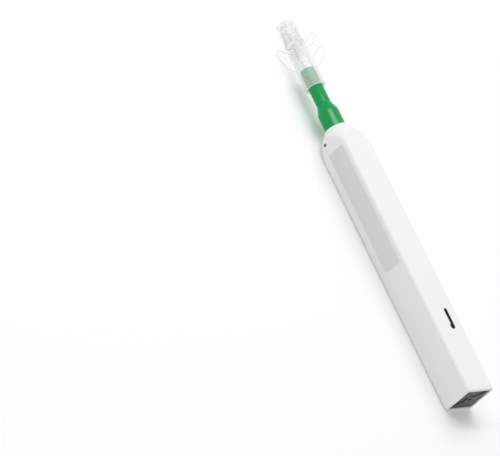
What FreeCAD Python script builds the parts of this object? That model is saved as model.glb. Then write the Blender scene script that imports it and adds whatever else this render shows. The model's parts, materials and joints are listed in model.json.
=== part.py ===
"""Fibre connector cleaning pen: a push-action cleaner for 2.5 mm ferrules.

A square sleeve holds a sliding carriage with a thread supply reel, a take-up
reel and a turning cleaning tip.  Pushing the green nozzle into the sleeve
drives the take-up reel along a rack, and a cam pin in a helical groove turns
the tip.  A clear guide cap and a dust cap close the front.

Every piece is drawn in pen coordinates, in millimetres: x is the station,
measured from the rear end towards the tip, and the pen's axis is y = z = 0.
PEN_PLACE then lays the pen on its flat lower face: origin under the middle of
the sleeve, tip towards -X, label face towards -Y, slot face up.
"""

import FreeCAD, Part
import math
import os
import re

import Sketcher
from FreeCAD import Placement, Rotation, Vector

doc = FreeCAD.newDocument("CleaningPen")

# --------------------------------------------------------------------------
# Driving dimensions
# --------------------------------------------------------------------------

DIMENSIONS = [
    # Sleeve
    ("body_width", 18.0, "square section, over the flats"),
    ("body_wall", 1.2, "moulded wall of the sleeve"),
    ("body_round", 1.3, "radius of the sleeve's long edges"),
    ("body_length", 151.0, "rear end to the round front opening"),
    ("shoulder_length", 12.4, "turned shoulder in front of the square part"),
    ("shoulder_curve", 25.0, "radius of the shoulder's profile"),
    ("opening_rim", 0.85, "flat rim round the front opening"),
    ("rim_bevel", 0.35, "bevel of that rim"),
    ("guide_length", 11.0, "round guide bore behind the front opening"),
    ("rear_bevel", 0.35, "bevel of the sleeve's rear edges"),
    # Keyhole slot over the winding wheel
    ("slot_front", 44.7, "station of the slot's front end"),
    ("slot_length", 11.3, "slot, end to end"),
    ("slot_width", 2.0, "narrow part of the slot"),
    ("slot_lobe", 2.9, "diameter of the wider rear lobe"),
    ("slot_side", 2.4, "slot centre line, away from the label face"),
    # Lanyard hole through a corner of the shoulder
    ("lanyard_back", 6.6, "hole behind the sleeve's front end"),
    ("lanyard_reach", 8.5, "hole axis from the pen axis"),
    ("lanyard_radius", 0.8, "radius of the hole"),
    # Label
    ("label_back", 12.2, "label's front end behind the sleeve's front end"),
    ("label_length", 66.1, "label along the pen"),
    ("label_height", 10.6, "label across the face"),
    ("label_lift", 1.1, "label centre above the pen axis"),
    ("label_round", 1.0, "label corner radius"),
    ("label_film", 0.1, "label thickness"),
    # End plug
    ("plug_recess", 0.6, "plug face behind the sleeve's end"),
    ("plug_floor", 2.8, "thickness of the plug"),
    ("plug_skirt", 2.6, "skirt that grips the sleeve"),
    ("plug_wall", 1.4, "thickness of that skirt"),
    ("plug_hub_radius", 2.6, "raised hub on the plug's face"),
    ("plug_hub_height", 0.35, "height of the hub and its ribs"),
    ("plug_rib", 1.1, "width of the ribs from hub to corners"),
    ("plug_hole", 1.0, "radius of the blind centre hole"),
    ("post_radius", 2.1, "spring post on the plug"),
    ("post_length", 6.0, "length of the spring post"),
    # Nozzle
    ("nozzle_radius", 5.3, "wide part that slides in the guide bore"),
    ("nozzle_gap", 0.08, "radial running clearance in the guide bore"),
    ("nozzle_shown", 9.4, "wide part in front of the sleeve at rest"),
    ("nozzle_taper", 4.7, "length of the cone to the narrow part"),
    ("tube_radius", 3.65, "narrow part that enters an adapter"),
    ("tube_length", 20.0, "length of the narrow part"),
    ("nozzle_bore", 4.2, "hollow of the wide part"),
    ("relief_radius", 2.7, "hollow of the narrow part between its lands"),
    ("land_length", 6.0, "bearing land at each end of the narrow part"),
    ("flange_radius", 7.3, "stop flange behind the guide bore"),
    ("flange_length", 3.2, "thickness of the stop flange"),
    ("edge_break", 0.3, "small chamfers and lead-ins"),
    # Carriage frame
    ("stroke", 9.0, "travel of the carriage when the pen is pushed"),
    ("stop_gap", 0.1, "flange to its stop at rest"),
    ("frame_gap", 0.3, "frame to the sleeve's inner walls"),
    ("frame_plate", 1.0, "thickness of the side plates"),
    ("frame_rear", 22.0, "station of the frame's rear end"),
    ("rear_bulkhead", 2.5, "bulkhead that takes the return spring"),
    ("bearing_back", 11.5, "tip shaft's rear bearing behind the cam bridge"),
    ("mid_bulkhead", 2.5, "thickness of that bearing"),
    ("front_bulkhead", 6.0, "bulkhead behind the nozzle flange"),
    ("shaft_passage", 3.2, "hole through the front bulkhead"),
    ("run_gap", 0.05, "radial running clearance on axles and shafts"),
    ("side_gap", 0.3, "side clearance of turning pieces"),
    # Reels
    ("take_up_station", 39.0, "take-up axle"),
    ("supply_station", 68.0, "supply axle"),
    ("axle_radius", 1.2, "both axles"),
    ("hub_radius", 2.4, "hubs of both spools"),
    ("take_up_flange", 6.2, "radius of the take-up spool's flanges"),
    ("supply_flange", 6.8, "radius of the supply spool's flanges"),
    ("flange_plate", 0.6, "thickness of the spool flanges"),
    ("take_up_wound", 4.2, "radius of the used thread on its spool"),
    ("supply_wound", 5.8, "radius of the clean thread on its spool"),
    ("wheel_radius", 7.0, "winding wheel under the slot"),
    ("wheel_width", 2.0, "thickness of the winding wheel"),
    ("wheel_notches", 30, "grip notches round the wheel"),
    ("notch_depth", 0.4, "depth of each V-shaped notch"),
    ("ratchet_radius", 4.6, "tips of the ratchet teeth"),
    ("ratchet_depth", 0.7, "depth of the ratchet teeth"),
    ("ratchet_teeth", 12, "ratchet teeth"),
    ("ratchet_width", 2.0, "thickness of the ratchet wheel"),
    ("pawl_gap", 0.15, "pawl tip to the ratchet's tip circle"),
    ("pawl_leaf", 0.6, "thickness of the pawl's leaf"),
    ("pawl_width", 1.6, "width of the pawl"),
    # Rack and pinion
    ("gear_module", 0.8, "module of rack and pinion"),
    ("gear_teeth", 12, "pinion teeth"),
    ("gear_width", 3.0, "pinion face width"),
    ("gear_angle", 20.0, "pressure angle, degrees"),
    ("gear_backlash", 0.2, "play between the flanks"),
    ("rack_teeth", 7, "rack teeth"),
    # Cleaning thread
    ("thread_radius", 0.2, "radius of the cleaning thread"),
    ("thread_apart", 0.35, "both threads from the shaft axis at its rear end"),
    ("thread_shift", 2.9, "return thread beside the supply spool, at its guide pin"),
    ("guide_back", 11.0, "guide pins behind the tip shaft"),
    ("guide_height", 3.6, "guide pins above and below the axis"),
    ("guide_radius", 1.0, "radius of the guide pins"),
    # Tip shaft
    ("shaft_tail", 4.0, "tip shaft behind its rear bearing"),
    ("journal_radius", 2.0, "rear journal of the shaft"),
    ("cam_radius", 2.6, "shaft radius at the helical groove"),
    ("shaft_radius", 1.9, "shaft radius in the nozzle"),
    ("collar_radius", 3.0, "collars that hold the shaft lengthwise"),
    ("collar_length", 1.2, "thickness of those collars"),
    ("thread_bore", 0.9, "bore where the thread enters the shaft"),
    ("head_radius", 1.2, "cleaning head, enters a 2.5 mm sleeve"),
    ("head_length", 10.5, "cleaning head in front of the nozzle"),
    ("ribbon_depth", 0.2, "slots for the thread on the head"),
    ("ribbon_film", 0.1, "thickness of the thread over the head"),
    ("ribbon_width", 0.9, "width of the thread over the head"),
    ("spigot_radius", 0.7, "spigot of the head in the shaft"),
    ("spigot_length", 4.0, "length of the spigot"),
    # Cam bridge and pin, fixed in the sleeve
    ("bridge_space", 2.2, "bridge to the front bulkhead when the pen is pushed"),
    ("bridge_length", 3.0, "cam bridge along the pen"),
    ("bridge_gap", 0.3, "cam bridge to the side plates and to the shaft"),
    ("pin_radius", 0.45, "cam pin"),
    ("pin_depth", 0.75, "cam pin's reach into the groove"),
    ("groove_depth", 1.0, "depth of the helical groove"),
    ("groove_width", 2.7, "groove measured along the shaft"),
    ("groove_spare", 20.0, "groove past both ends of the turn, degrees"),
    ("turn_angle", 180.0, "turn of the tip in one stroke, degrees"),
    # Springs
    ("spring_radius", 3.1, "return spring, to the wire's centre"),
    ("spring_wire", 0.35, "radius of the return spring's wire"),
    ("spring_turns", 7, "turns of the return spring"),
    ("tip_spring_radius", 3.65, "tip spring, to the wire's centre"),
    ("tip_spring_wire", 0.25, "radius of the tip spring's wire"),
    ("tip_spring_turns", 5, "turns of the tip spring"),
    ("tip_spring_length", 10.0, "length of the tip spring"),
    ("tip_collar_radius", 3.9, "shaft collar that the tip spring pushes"),
    ("seat_gap", 0.02, "play at a spring's seats and at glued pieces"),
    # Guide cap
    ("cap_cover", 10.1, "narrow part of the nozzle inside the guide cap"),
    ("cap_length", 25.25, "guide cap without its front collar"),
    ("cap_radius", 5.0, "outside of the guide cap"),
    ("cap_ring", 0.15, "height of the rings at both ends"),
    ("cap_ring_length", 1.0, "length of those rings"),
    ("cap_gap", 0.07, "radial slide clearance on the nozzle"),
    ("cap_front", 1.25, "front wall of the guide cap"),
    ("ferrule_radius", 1.27, "bore for a 2.5 mm ferrule"),
    ("head_passage", 1.45, "wider bore round the cleaning head"),
    ("ferrule_tube", 2.15, "outside of the inner ferrule tube"),
    ("ferrule_tube_length", 6.0, "inner ferrule tube behind the front wall"),
    ("collar_front_radius", 3.9, "front collar that the dust cap covers"),
    ("collar_front_length", 6.75, "length of the front collar"),
    # Dust cap
    ("dust_length", 11.45, "dust cap, end to end"),
    ("dust_radius", 4.9, "outside of the dust cap"),
    ("dust_round", 0.9, "rounding of its closed end, in two steps"),
    ("dust_wall", 1.2, "closed end wall"),
    ("dust_step", 0.3, "inner step in front of the collar"),
    ("dust_gap", 0.1, "dust cap to the guide cap"),
    # Tether loops
    ("tether_radius", 0.28, "radius of the moulded tether loops"),
    ("tether_gap", 0.03, "loop ends to the guide cap's wall"),
]

ALIASES = [alias for alias, _, _ in DIMENSIONS]


def fill_sheet():
    """Write the driving dimensions into the document's spreadsheet."""
    sheet = doc.addObject("Spreadsheet::Sheet", "Sizes")
    for row, (alias, number, meaning) in enumerate(DIMENSIONS, start=1):
        sheet.set(f"A{row}", meaning)
        sheet.set(f"B{row}", str(number))
        sheet.setAlias(f"B{row}", alias)
    doc.recompute()
    return sheet


SIZES = fill_sheet()


def bound(formula):
    """Formula with each alias written as a cell of the sheet."""
    return re.sub(
        r"[A-Za-z_]\w*",
        lambda word: f"Sizes.{word.group()}" if word.group() in ALIASES else word.group(),
        str(formula),
    )


def number(formula):
    """Present value of a formula, in millimetres or degrees."""
    return float(SIZES.evalExpression(str(formula)))


# Formulas that several pieces share
HALF_WIDTH = "(body_width / 2)"
HALF_INSIDE = f"({HALF_WIDTH} - body_wall)"
CAVITY_END = "(body_length - guide_length)"
GUIDE_BORE = "(nozzle_radius + nozzle_gap)"
RIM_RADIUS = f"({GUIDE_BORE} + opening_rim)"
FLANGE_FRONT = f"({CAVITY_END} - stop_gap)"
FLANGE_REAR = f"({FLANGE_FRONT} - flange_length)"
TAPER_START = "(body_length + nozzle_shown)"
TUBE_START = f"({TAPER_START} + nozzle_taper)"
NOZZLE_END = f"({TUBE_START} + tube_length)"
HALF_FRAME = f"({HALF_INSIDE} - frame_gap)"
FRAME_INNER = f"({HALF_FRAME} - frame_plate)"
PLUG_FRONT = "(plug_recess + plug_floor)"
WINDOW_REAR = "(frame_rear + rear_bulkhead)"
FRONT_START = f"({FLANGE_REAR} - front_bulkhead)"
BRIDGE_REAR = f"({FRONT_START} - stroke - bridge_space - bridge_length)"
BRIDGE_MIDDLE = f"({BRIDGE_REAR} + bridge_length / 2)"
MID_START = f"({BRIDGE_REAR} - bearing_back)"
MID_FRONT = f"({MID_START} + mid_bulkhead)"
SHAFT_REAR = f"({MID_START} - shaft_tail)"
GUIDE_STATION = f"({SHAFT_REAR} - guide_back)"
PITCH_RADIUS = "(gear_module * gear_teeth / 2)"
WHEEL_LOW = "(-slot_side - wheel_width / 2)"
WHEEL_HIGH = "(-slot_side + wheel_width / 2)"
GEAR_LOW = WHEEL_HIGH
GEAR_HIGH = f"({GEAR_LOW} + gear_width)"
SPOOL_LOW = GEAR_HIGH
SPOOL_HIGH = f"({FRAME_INNER} - side_gap)"
RATCHET_HIGH = WHEEL_LOW
RATCHET_LOW = f"({RATCHET_HIGH} - ratchet_width)"
AXLE_BORE = "(axle_radius + run_gap)"
CAP_START = f"({NOZZLE_END} - cap_cover)"
CAP_END = f"({CAP_START} + cap_length)"
HEAD_FRONT = f"({NOZZLE_END} + head_length)"

PEN_PLACE = {
    "Placement.Base.x": "body_length / 2",
    "Placement.Base.z": "body_width / 2",
}

# --------------------------------------------------------------------------
# Drawing helpers
# --------------------------------------------------------------------------


def lay_down(piece):
    """Turn a piece from pen coordinates into the part's frame."""
    base = Vector(number("body_length / 2"), 0, number("body_width / 2"))
    piece.Placement = Placement(base, Rotation(Vector(0, 0, 1), 180))
    for path, formula in PEN_PLACE.items():
        piece.setExpression(path, bound(formula))


def new_body(name):
    """PartDesign body whose label names the sub-part."""
    body = doc.addObject("PartDesign::Body", name)
    body.Label = name
    lay_down(body)
    return body


def new_sketch(body, plane, offset=None, origin=None, turn=0):
    """Sketch on one of the body's own planes, moved by formulas.

    offset moves the sketch along its normal, origin along its x axis, and turn
    turns it about its normal, in degrees.
    """
    sketch = body.newObject("Sketcher::SketchObject", f"{body.Name}_sketch")
    planes = {item.Role: item for item in body.Origin.OriginFeatures}
    sketch.AttachmentSupport = [(planes[f"{plane}_Plane"], "")]
    sketch.MapMode = "FlatFace"
    sketch.AttachmentOffset = Placement(Vector(), Rotation(Vector(0, 0, 1), turn))
    if offset is not None:
        sketch.setExpression("AttachmentOffset.Base.z", bound(offset))
    if origin is not None:
        sketch.setExpression("AttachmentOffset.Base.x", bound(origin))
    return sketch


def hold_point(sketch, edge, end, x, y):
    """Fix one end or centre of an edge by its distances from the sketch origin."""
    for kind, formula in (("DistanceX", x), ("DistanceY", y)):
        constraint = sketch.addConstraint(
            Sketcher.Constraint(kind, -1, 1, edge, end, number(formula))
        )
        sketch.setExpression(f"Constraints[{constraint}]", bound(formula))


def hold_radius(sketch, edge, radius):
    """Fix the radius of a circle or arc."""
    constraint = sketch.addConstraint(Sketcher.Constraint("Radius", edge, number(radius)))
    sketch.setExpression(f"Constraints[{constraint}]", bound(radius))


def draw_outline(sketch, corners, arcs=None):
    """Closed outline through corners, each a pair of formulas.

    arcs maps an edge's index to (radius formula, side), where side is +1 or -1
    for an arc that bulges to the left or right of its direction.
    """
    arcs = arcs or {}
    points = [Vector(number(x), number(y), 0) for x, y in corners]
    first = sketch.GeometryCount
    count = len(points)
    for index, start in enumerate(points):
        end = points[(index + 1) % count]
        if index in arcs:
            radius, side = arcs[index]
            chord = end - start
            across = Vector(-chord.y, chord.x, 0).normalize() * side
            bow = number(radius)
            bow -= math.sqrt(bow**2 - (chord.Length / 2) ** 2)
            middle = start + chord * 0.5 + across * bow
            sketch.addGeometry(Part.Arc(start, middle, end))
        else:
            sketch.addGeometry(Part.LineSegment(start, end))
    starts = {}
    for index in range(count):
        at_start = (sketch.getPoint(first + index, 1) - points[index]).Length < 1e-6
        starts[index] = (1, 2) if at_start else (2, 1)
    for index in range(count):
        following = (index + 1) % count
        sketch.addConstraint(
            Sketcher.Constraint(
                "Coincident",
                first + index,
                starts[index][1],
                first + following,
                starts[following][0],
            )
        )
    for index, (x, y) in enumerate(corners):
        hold_point(sketch, first + index, starts[index][0], x, y)
    for index, (radius, _) in arcs.items():
        hold_radius(sketch, first + index, radius)


def draw_box(sketch, low_x, low_y, high_x, high_y):
    """Rectangle between two corners."""
    corners = [(low_x, low_y), (high_x, low_y), (high_x, high_y), (low_x, high_y)]
    draw_outline(sketch, corners)


def draw_round_box(sketch, low_x, low_y, high_x, high_y, radius, rounded=True):
    """Rectangle with rounded corners, or with straight cut ones."""
    corners = [
        (f"{low_x} + {radius}", low_y),
        (f"{high_x} - {radius}", low_y),
        (high_x, f"{low_y} + {radius}"),
        (high_x, f"{high_y} - {radius}"),
        (f"{high_x} - {radius}", high_y),
        (f"{low_x} + {radius}", high_y),
        (low_x, f"{high_y} - {radius}"),
        (low_x, f"{low_y} + {radius}"),
    ]
    arcs = {edge: (radius, -1) for edge in (1, 3, 5, 7)} if rounded else {}
    draw_outline(sketch, corners, arcs)


def draw_circle(sketch, x, y, radius):
    """Circle held by its centre and radius."""
    centre = Vector(number(x), number(y), 0)
    edge = sketch.addGeometry(Part.Circle(centre, Vector(0, 0, 1), number(radius)))
    hold_point(sketch, edge, 3, x, y)
    hold_radius(sketch, edge, radius)


def add_pad(body, sketch, length, reverse=False, middle=False):
    """Pad a sketch along its normal."""
    pad = body.newObject("PartDesign::Pad", f"{body.Name}_pad")
    pad.Profile = sketch
    pad.setExpression("Length", bound(length))
    pad.Reversed = reverse
    pad.Midplane = middle
    return pad


def add_pocket(body, sketch, length=None, reverse=False, middle=False):
    """Cut a sketch's outline out, through everything when no length is given."""
    pocket = body.newObject("PartDesign::Pocket", f"{body.Name}_pocket")
    pocket.Profile = sketch
    if length is None:
        pocket.Type = "ThroughAll"
    else:
        pocket.setExpression("Length", bound(length))
    pocket.Reversed = reverse
    pocket.Midplane = middle
    return pocket


def add_turning(body, sketch, axis, kind="Revolution"):
    """Turn a sketch a whole turn about one of its own axes."""
    feature = body.newObject(f"PartDesign::{kind}", f"{body.Name}_turning")
    feature.Profile = sketch
    feature.ReferenceAxis = (sketch, [axis])
    feature.Angle = 360
    return feature


def turned_body(name, profile):
    """Body turned about the pen's axis; profile corners are (station, radius)."""
    body = new_body(name)
    sketch = new_sketch(body, "XZ")
    draw_outline(sketch, profile)
    add_turning(body, sketch, "H_Axis")
    return body


def cross_turned_body(name, station, profile):
    """Body turned about an axle across the pen; corners are (radius, y)."""
    body = new_body(name)
    sketch = new_sketch(body, "XY", origin=station)
    draw_outline(sketch, profile)
    add_turning(body, sketch, "V_Axis")
    return body


def add_shape(name, shape):
    """Plain feature that holds a shape built from the sheet's values."""
    feature = doc.addObject("Part::Feature", name)
    feature.Label = name
    feature.Shape = shape
    lay_down(feature)
    return feature


def tube(points, radius):
    """Six-sided tube along straight runs joined by tangent arcs."""
    runs = [end - start for start, end in zip(points, points[1:])]
    edges = []
    last = points[0]
    for before, corner, after in zip(runs, points[1:], runs[1:]):
        turn = before.getAngle(after)
        back = 0.45 * min(before.Length, after.Length)
        into = Vector(before).normalize()
        away = Vector(after).normalize()
        arc_start = corner - into * back
        arc_end = corner + away * back
        bend = back / math.tan(turn / 2)
        inward = (away - into).normalize()
        depth = bend / math.cos(turn / 2) - bend
        edges.append(Part.makeLine(last, arc_start))
        edges.append(Part.Arc(arc_start, corner + inward * depth, arc_end).toShape())
        last = arc_end
    edges.append(Part.makeLine(last, points[-1]))
    face_on = Rotation(Vector(0, 0, 1), runs[0])
    spoke = Vector(radius, 0, 0)
    ring = [
        points[0] + (face_on * Rotation(Vector(0, 0, 1), 60 * side)).multVec(spoke)
        for side in range(6)
    ]
    profile = Part.makePolygon(ring + ring[:1])
    return Part.Wire(edges).makePipeShell([profile], True, False)


def helix_shape(section, start_angle, end_angle, pitch, start, step):
    """Solid through copies of a section carried round the pen's axis.

    section holds (station, radius) corners, pitch is the advance in one turn.
    """
    count = math.ceil((end_angle - start_angle) / step)
    wires = []
    for index in range(count + 1):
        angle = start_angle + (end_angle - start_angle) * index / count
        along = start + pitch * angle / 360
        turn = Rotation(Vector(1, 0, 0), angle)
        ring = [turn.multVec(Vector(along + x, 0, radius)) for x, radius in section]
        wires.append(Part.makePolygon(ring + ring[:1]))
    return Part.makeLoft(wires, True, True)


def coil_spring(name, start, end, coil_radius, wire_radius, turns):
    """Open coil spring between two stations, seated with a small play."""
    wire = number(wire_radius)
    first = number(start) + wire + number("seat_gap")
    last = number(end) - wire - number("seat_gap")
    corners = [math.radians(60 * side) for side in range(6)]
    section = [
        (wire * math.cos(corner), number(coil_radius) + wire * math.sin(corner))
        for corner in corners
    ]
    whole = 360 * number(turns)
    pitch = (last - first) * 360 / whole
    return add_shape(name, helix_shape(section, 0, whole, pitch, first, 45))


# --------------------------------------------------------------------------
# Sleeve and what is fixed in it
# --------------------------------------------------------------------------


def make_housing_shell():
    """Square sleeve with a turned shoulder, guide bore, slot and lanyard hole."""
    body = new_body("housing_shell")

    section = new_sketch(body, "YZ")
    draw_round_box(
        section, f"-{HALF_WIDTH}", f"-{HALF_WIDTH}", HALF_WIDTH, HALF_WIDTH, "body_round"
    )
    add_pad(body, section, "body_length")

    shoulder = new_sketch(body, "XZ")
    corner = f"({HALF_WIDTH} * 1.4142 - body_round * 0.4142 + 0.05)"
    draw_outline(
        shoulder,
        [
            ("body_length - shoulder_length", corner),
            ("body_length - rim_bevel", RIM_RADIUS),
            ("body_length", f"{RIM_RADIUS} - rim_bevel"),
            ("body_length + body_wall", f"{RIM_RADIUS} - rim_bevel"),
            ("body_length + body_wall", "body_width"),
            ("body_length - shoulder_length", "body_width"),
        ],
        {0: ("shoulder_curve", 1)},
    )
    add_turning(body, shoulder, "H_Axis", kind="Groove")

    cavity = new_sketch(body, "YZ")
    draw_round_box(
        cavity,
        f"-{HALF_INSIDE}",
        f"-{HALF_INSIDE}",
        HALF_INSIDE,
        HALF_INSIDE,
        "(body_round / 2)",
    )
    add_pocket(body, cavity, CAVITY_END, reverse=True)

    bore = new_sketch(body, "YZ")
    draw_circle(bore, "0", "0", GUIDE_BORE)
    add_pocket(body, bore, reverse=True)

    narrow = "(slot_width / 2)"
    lobe = "(slot_lobe / 2)"
    lobe_at = f"(slot_front - slot_length + {lobe})"
    front_at = f"(slot_front - {narrow})"
    slot = new_sketch(body, "XY")
    draw_box(slot, lobe_at, f"-slot_side - {narrow}", front_at, f"-slot_side + {narrow}")
    add_pocket(body, slot, "body_width", reverse=True)
    for station, side, radius in (
        (front_at, "-slot_side", narrow),
        (lobe_at, f"-slot_side - {narrow} + {lobe}", lobe),
    ):
        slot_end = new_sketch(body, "XY")
        draw_circle(slot_end, station, side, radius)
        add_pocket(body, slot_end, "body_width", reverse=True)

    lanyard = new_sketch(body, "XY")
    lanyard.AttachmentOffset = Placement(Vector(), Rotation(Vector(1, 0, 0), -45))
    draw_circle(lanyard, "body_length - lanyard_back", "lanyard_reach", "lanyard_radius")
    add_pocket(body, lanyard, middle=True)

    outer = number(f"{HALF_INSIDE} + body_wall / 2")
    doc.recompute()
    last = body.Tip
    rear = [
        f"Edge{index}"
        for index, edge in enumerate(last.Shape.Edges, start=1)
        if edge.BoundBox.XMax < 1e-4 and reach_across(edge) > outer
    ]
    bevel = body.newObject("PartDesign::Chamfer", "housing_shell_bevel")
    bevel.Base = (last, rear)
    bevel.setExpression("Size", bound("rear_bevel"))
    return body


def reach_across(edge):
    """Furthest that an edge gets from the pen's axis, along y or z."""
    box = edge.BoundBox
    return max(box.YMax, -box.YMin, box.ZMax, -box.ZMin)


def make_end_plug():
    """Plug that closes the sleeve's rear end and carries the spring post."""
    body = new_body("end_plug")
    half = f"({HALF_INSIDE} - seat_gap)"
    face = new_sketch(body, "YZ", offset="plug_recess")
    draw_round_box(face, f"-{half}", f"-{half}", half, half, "(body_round / 2)")
    add_pad(body, face, "plug_floor + plug_skirt")

    skirt = new_sketch(body, "YZ", offset=f"{PLUG_FRONT} + plug_skirt")
    inner = f"({half} - plug_wall)"
    draw_box(skirt, f"-{inner}", f"-{inner}", inner, inner)
    add_pocket(body, skirt, "plug_skirt")

    post = new_sketch(body, "YZ", offset=PLUG_FRONT)
    draw_circle(post, "0", "0", "post_radius")
    add_pad(body, post, "post_length")

    hub = new_sketch(body, "YZ", offset="plug_recess")
    draw_circle(hub, "0", "0", "plug_hub_radius")
    add_pad(body, hub, "plug_hub_height", reverse=True)

    reach = f"({half} * 1.4142 - body_round)"
    for turn in (45, -45):
        rib = new_sketch(body, "YZ", offset="plug_recess", turn=turn)
        draw_box(rib, f"-{reach}", "-plug_rib / 2", reach, "plug_rib / 2")
        add_pad(body, rib, "plug_hub_height", reverse=True)

    hole = new_sketch(body, "YZ", offset="plug_recess - plug_hub_height")
    draw_circle(hole, "0", "0", "plug_hole")
    add_pocket(body, hole, "plug_floor / 2 + plug_hub_height", reverse=True)
    return body


def make_label():
    """Bare label film on the side face."""
    body = new_body("label")
    film = new_sketch(body, "XZ", offset=f"-{HALF_WIDTH}")
    draw_round_box(
        film,
        "(body_length - label_back - label_length)",
        "(label_lift - label_height / 2)",
        "(body_length - label_back)",
        "(label_lift + label_height / 2)",
        "label_round",
    )
    add_pad(body, film, "label_film", reverse=True)
    return body


def make_drive_rack():
    """Rack on the sleeve's floor that turns the pinion."""
    body = new_body("drive_rack")
    pitch = "(pi * gear_module)"
    middle = f"(({GEAR_LOW} + {GEAR_HIGH}) / 2)"
    width = "gear_width - 2 * side_gap"
    first = f"(take_up_station + 1.5 * {pitch})"
    last = f"({first} - (rack_teeth - 1) * {pitch})"
    root = f"(-{PITCH_RADIUS} - 1.25 * gear_module)"
    tip = f"(-{PITCH_RADIUS} + gear_module)"

    bar = new_sketch(body, "XZ", offset=f"-{middle}")
    draw_box(
        bar, f"{last} - 0.6 * {pitch}", f"-{HALF_INSIDE}", f"{first} + 0.6 * {pitch}", root
    )
    add_pad(body, bar, width, middle=True)

    half = f"({pitch} / 4 - gear_backlash / 4)"
    slope = "tan(gear_angle)"
    foot = f"({half} + 1.25 * gear_module * {slope})"
    top = f"({half} - gear_module * {slope})"
    tooth = new_sketch(body, "XZ", offset=f"-{middle}")
    draw_outline(
        tooth,
        [
            (f"{first} - {foot}", root),
            (f"{first} + {foot}", root),
            (f"{first} + {top}", tip),
            (f"{first} - {top}", tip),
        ],
    )
    pad = add_pad(body, tooth, width, middle=True)

    pattern = body.newObject("PartDesign::LinearPattern", "drive_rack_teeth")
    pattern.Originals = [pad]
    pattern.Direction = (tooth, ["H_Axis"])
    pattern.Reversed = True
    pattern.setExpression("Length", bound(f"(rack_teeth - 1) * {pitch}"))
    pattern.setExpression("Occurrences", bound("rack_teeth"))
    body.Tip = pattern
    return body


def make_cam_bridge():
    """Bridge across the sleeve that holds the cam pin over the tip shaft."""
    body = new_body("cam_bridge")
    side = f"({FRAME_INNER} - bridge_gap)"
    block = new_sketch(body, "YZ", offset=BRIDGE_REAR)
    draw_box(block, f"-{side}", f"-{HALF_INSIDE}", side, HALF_INSIDE)
    add_pad(body, block, "bridge_length")
    passage = new_sketch(body, "YZ", offset=BRIDGE_REAR)
    draw_circle(passage, "0", "0", "cam_radius + bridge_gap")
    add_pocket(body, passage, "bridge_length", reverse=True)
    hole = new_sketch(body, "XY")
    draw_circle(hole, BRIDGE_MIDDLE, "0", "pin_radius + seat_gap")
    add_pocket(body, hole, "body_width", reverse=True)
    return body


def make_cam_pin():
    """Steel pin that runs in the shaft's helical groove."""
    body = new_body("cam_pin")
    foot = "(cam_radius - pin_depth)"
    pin = new_sketch(body, "XY", offset=foot)
    draw_circle(pin, BRIDGE_MIDDLE, "0", "pin_radius")
    add_pad(body, pin, f"{HALF_INSIDE} - seat_gap - {foot}")
    return body


# --------------------------------------------------------------------------
# Carriage: nozzle, frame, axles and threads
# --------------------------------------------------------------------------


def make_nozzle_shell():
    """Green nozzle: stop flange, wide sliding part, cone and narrow tube."""
    bearing = "(shaft_radius + run_gap)"
    rear_land = f"({TAPER_START} - land_length / 2)"
    rear_land_end = f"({TAPER_START} + land_length / 2)"
    front_land = f"({NOZZLE_END} - land_length)"
    return turned_body(
        "nozzle_shell",
        [
            (FLANGE_REAR, "nozzle_bore"),
            (FLANGE_REAR, "flange_radius"),
            (FLANGE_FRONT, "flange_radius"),
            (FLANGE_FRONT, "nozzle_radius"),
            (TAPER_START, "nozzle_radius"),
            (TUBE_START, "tube_radius"),
            (f"{NOZZLE_END} - edge_break", "tube_radius"),
            (NOZZLE_END, "tube_radius - edge_break"),
            (NOZZLE_END, bearing),
            (front_land, bearing),
            (front_land, "relief_radius"),
            (rear_land_end, "relief_radius"),
            (rear_land_end, bearing),
            (rear_land, bearing),
            (rear_land, "nozzle_bore"),
        ],
    )


def make_inner_frame():
    """Ladder frame of the carriage: two side plates and three bulkheads."""
    body = new_body("inner_frame")
    block = new_sketch(body, "XY")
    draw_box(block, "frame_rear", f"-{HALF_FRAME}", FLANGE_REAR, HALF_FRAME)
    add_pad(body, block, f"2 * {HALF_FRAME}", middle=True)

    for rear, front in (
        (WINDOW_REAR, MID_START),
        (MID_FRONT, FRONT_START),
    ):
        window = new_sketch(body, "XY")
        draw_box(window, rear, f"-{FRAME_INNER}", front, FRAME_INNER)
        add_pocket(body, window, middle=True)

    for start, thickness, radius in (
        (MID_START, "mid_bulkhead", "journal_radius + run_gap"),
        (FRONT_START, "front_bulkhead", "shaft_passage"),
    ):
        bore = new_sketch(body, "YZ", offset=start)
        draw_circle(bore, "0", "0", radius)
        add_pocket(body, bore, thickness, reverse=True)

    for station, height, radius in (
        ("take_up_station", "0", "axle_radius"),
        ("supply_station", "0", "axle_radius"),
        (GUIDE_STATION, "guide_height", "guide_radius"),
        (GUIDE_STATION, "-guide_height", "guide_radius"),
    ):
        hole = new_sketch(body, "XZ")
        draw_circle(hole, station, height, f"{radius} + seat_gap")
        add_pocket(body, hole, middle=True)

    half = f"({HALF_FRAME} / 2)"
    rim = "(3 * frame_plate)"
    for rear, front in (
        ("(take_up_station + wheel_radius + frame_plate)",
         "(supply_station - supply_flange - frame_plate)"),
        (f"({MID_FRONT} + {rim})", f"({FRONT_START} - {rim})"),
    ):
        opening = new_sketch(body, "XZ")
        draw_round_box(opening, rear, f"-{half}", front, half, "body_round", rounded=False)
        add_pocket(body, opening, middle=True)
    return body


def make_cross_pin(name, station, height, radius):
    """Pin or axle across the frame, flush with its side plates."""
    body = new_body(name)
    section = new_sketch(body, "XZ")
    draw_circle(section, station, height, radius)
    add_pad(body, section, f"2 * {HALF_FRAME}", middle=True)
    return body


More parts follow.
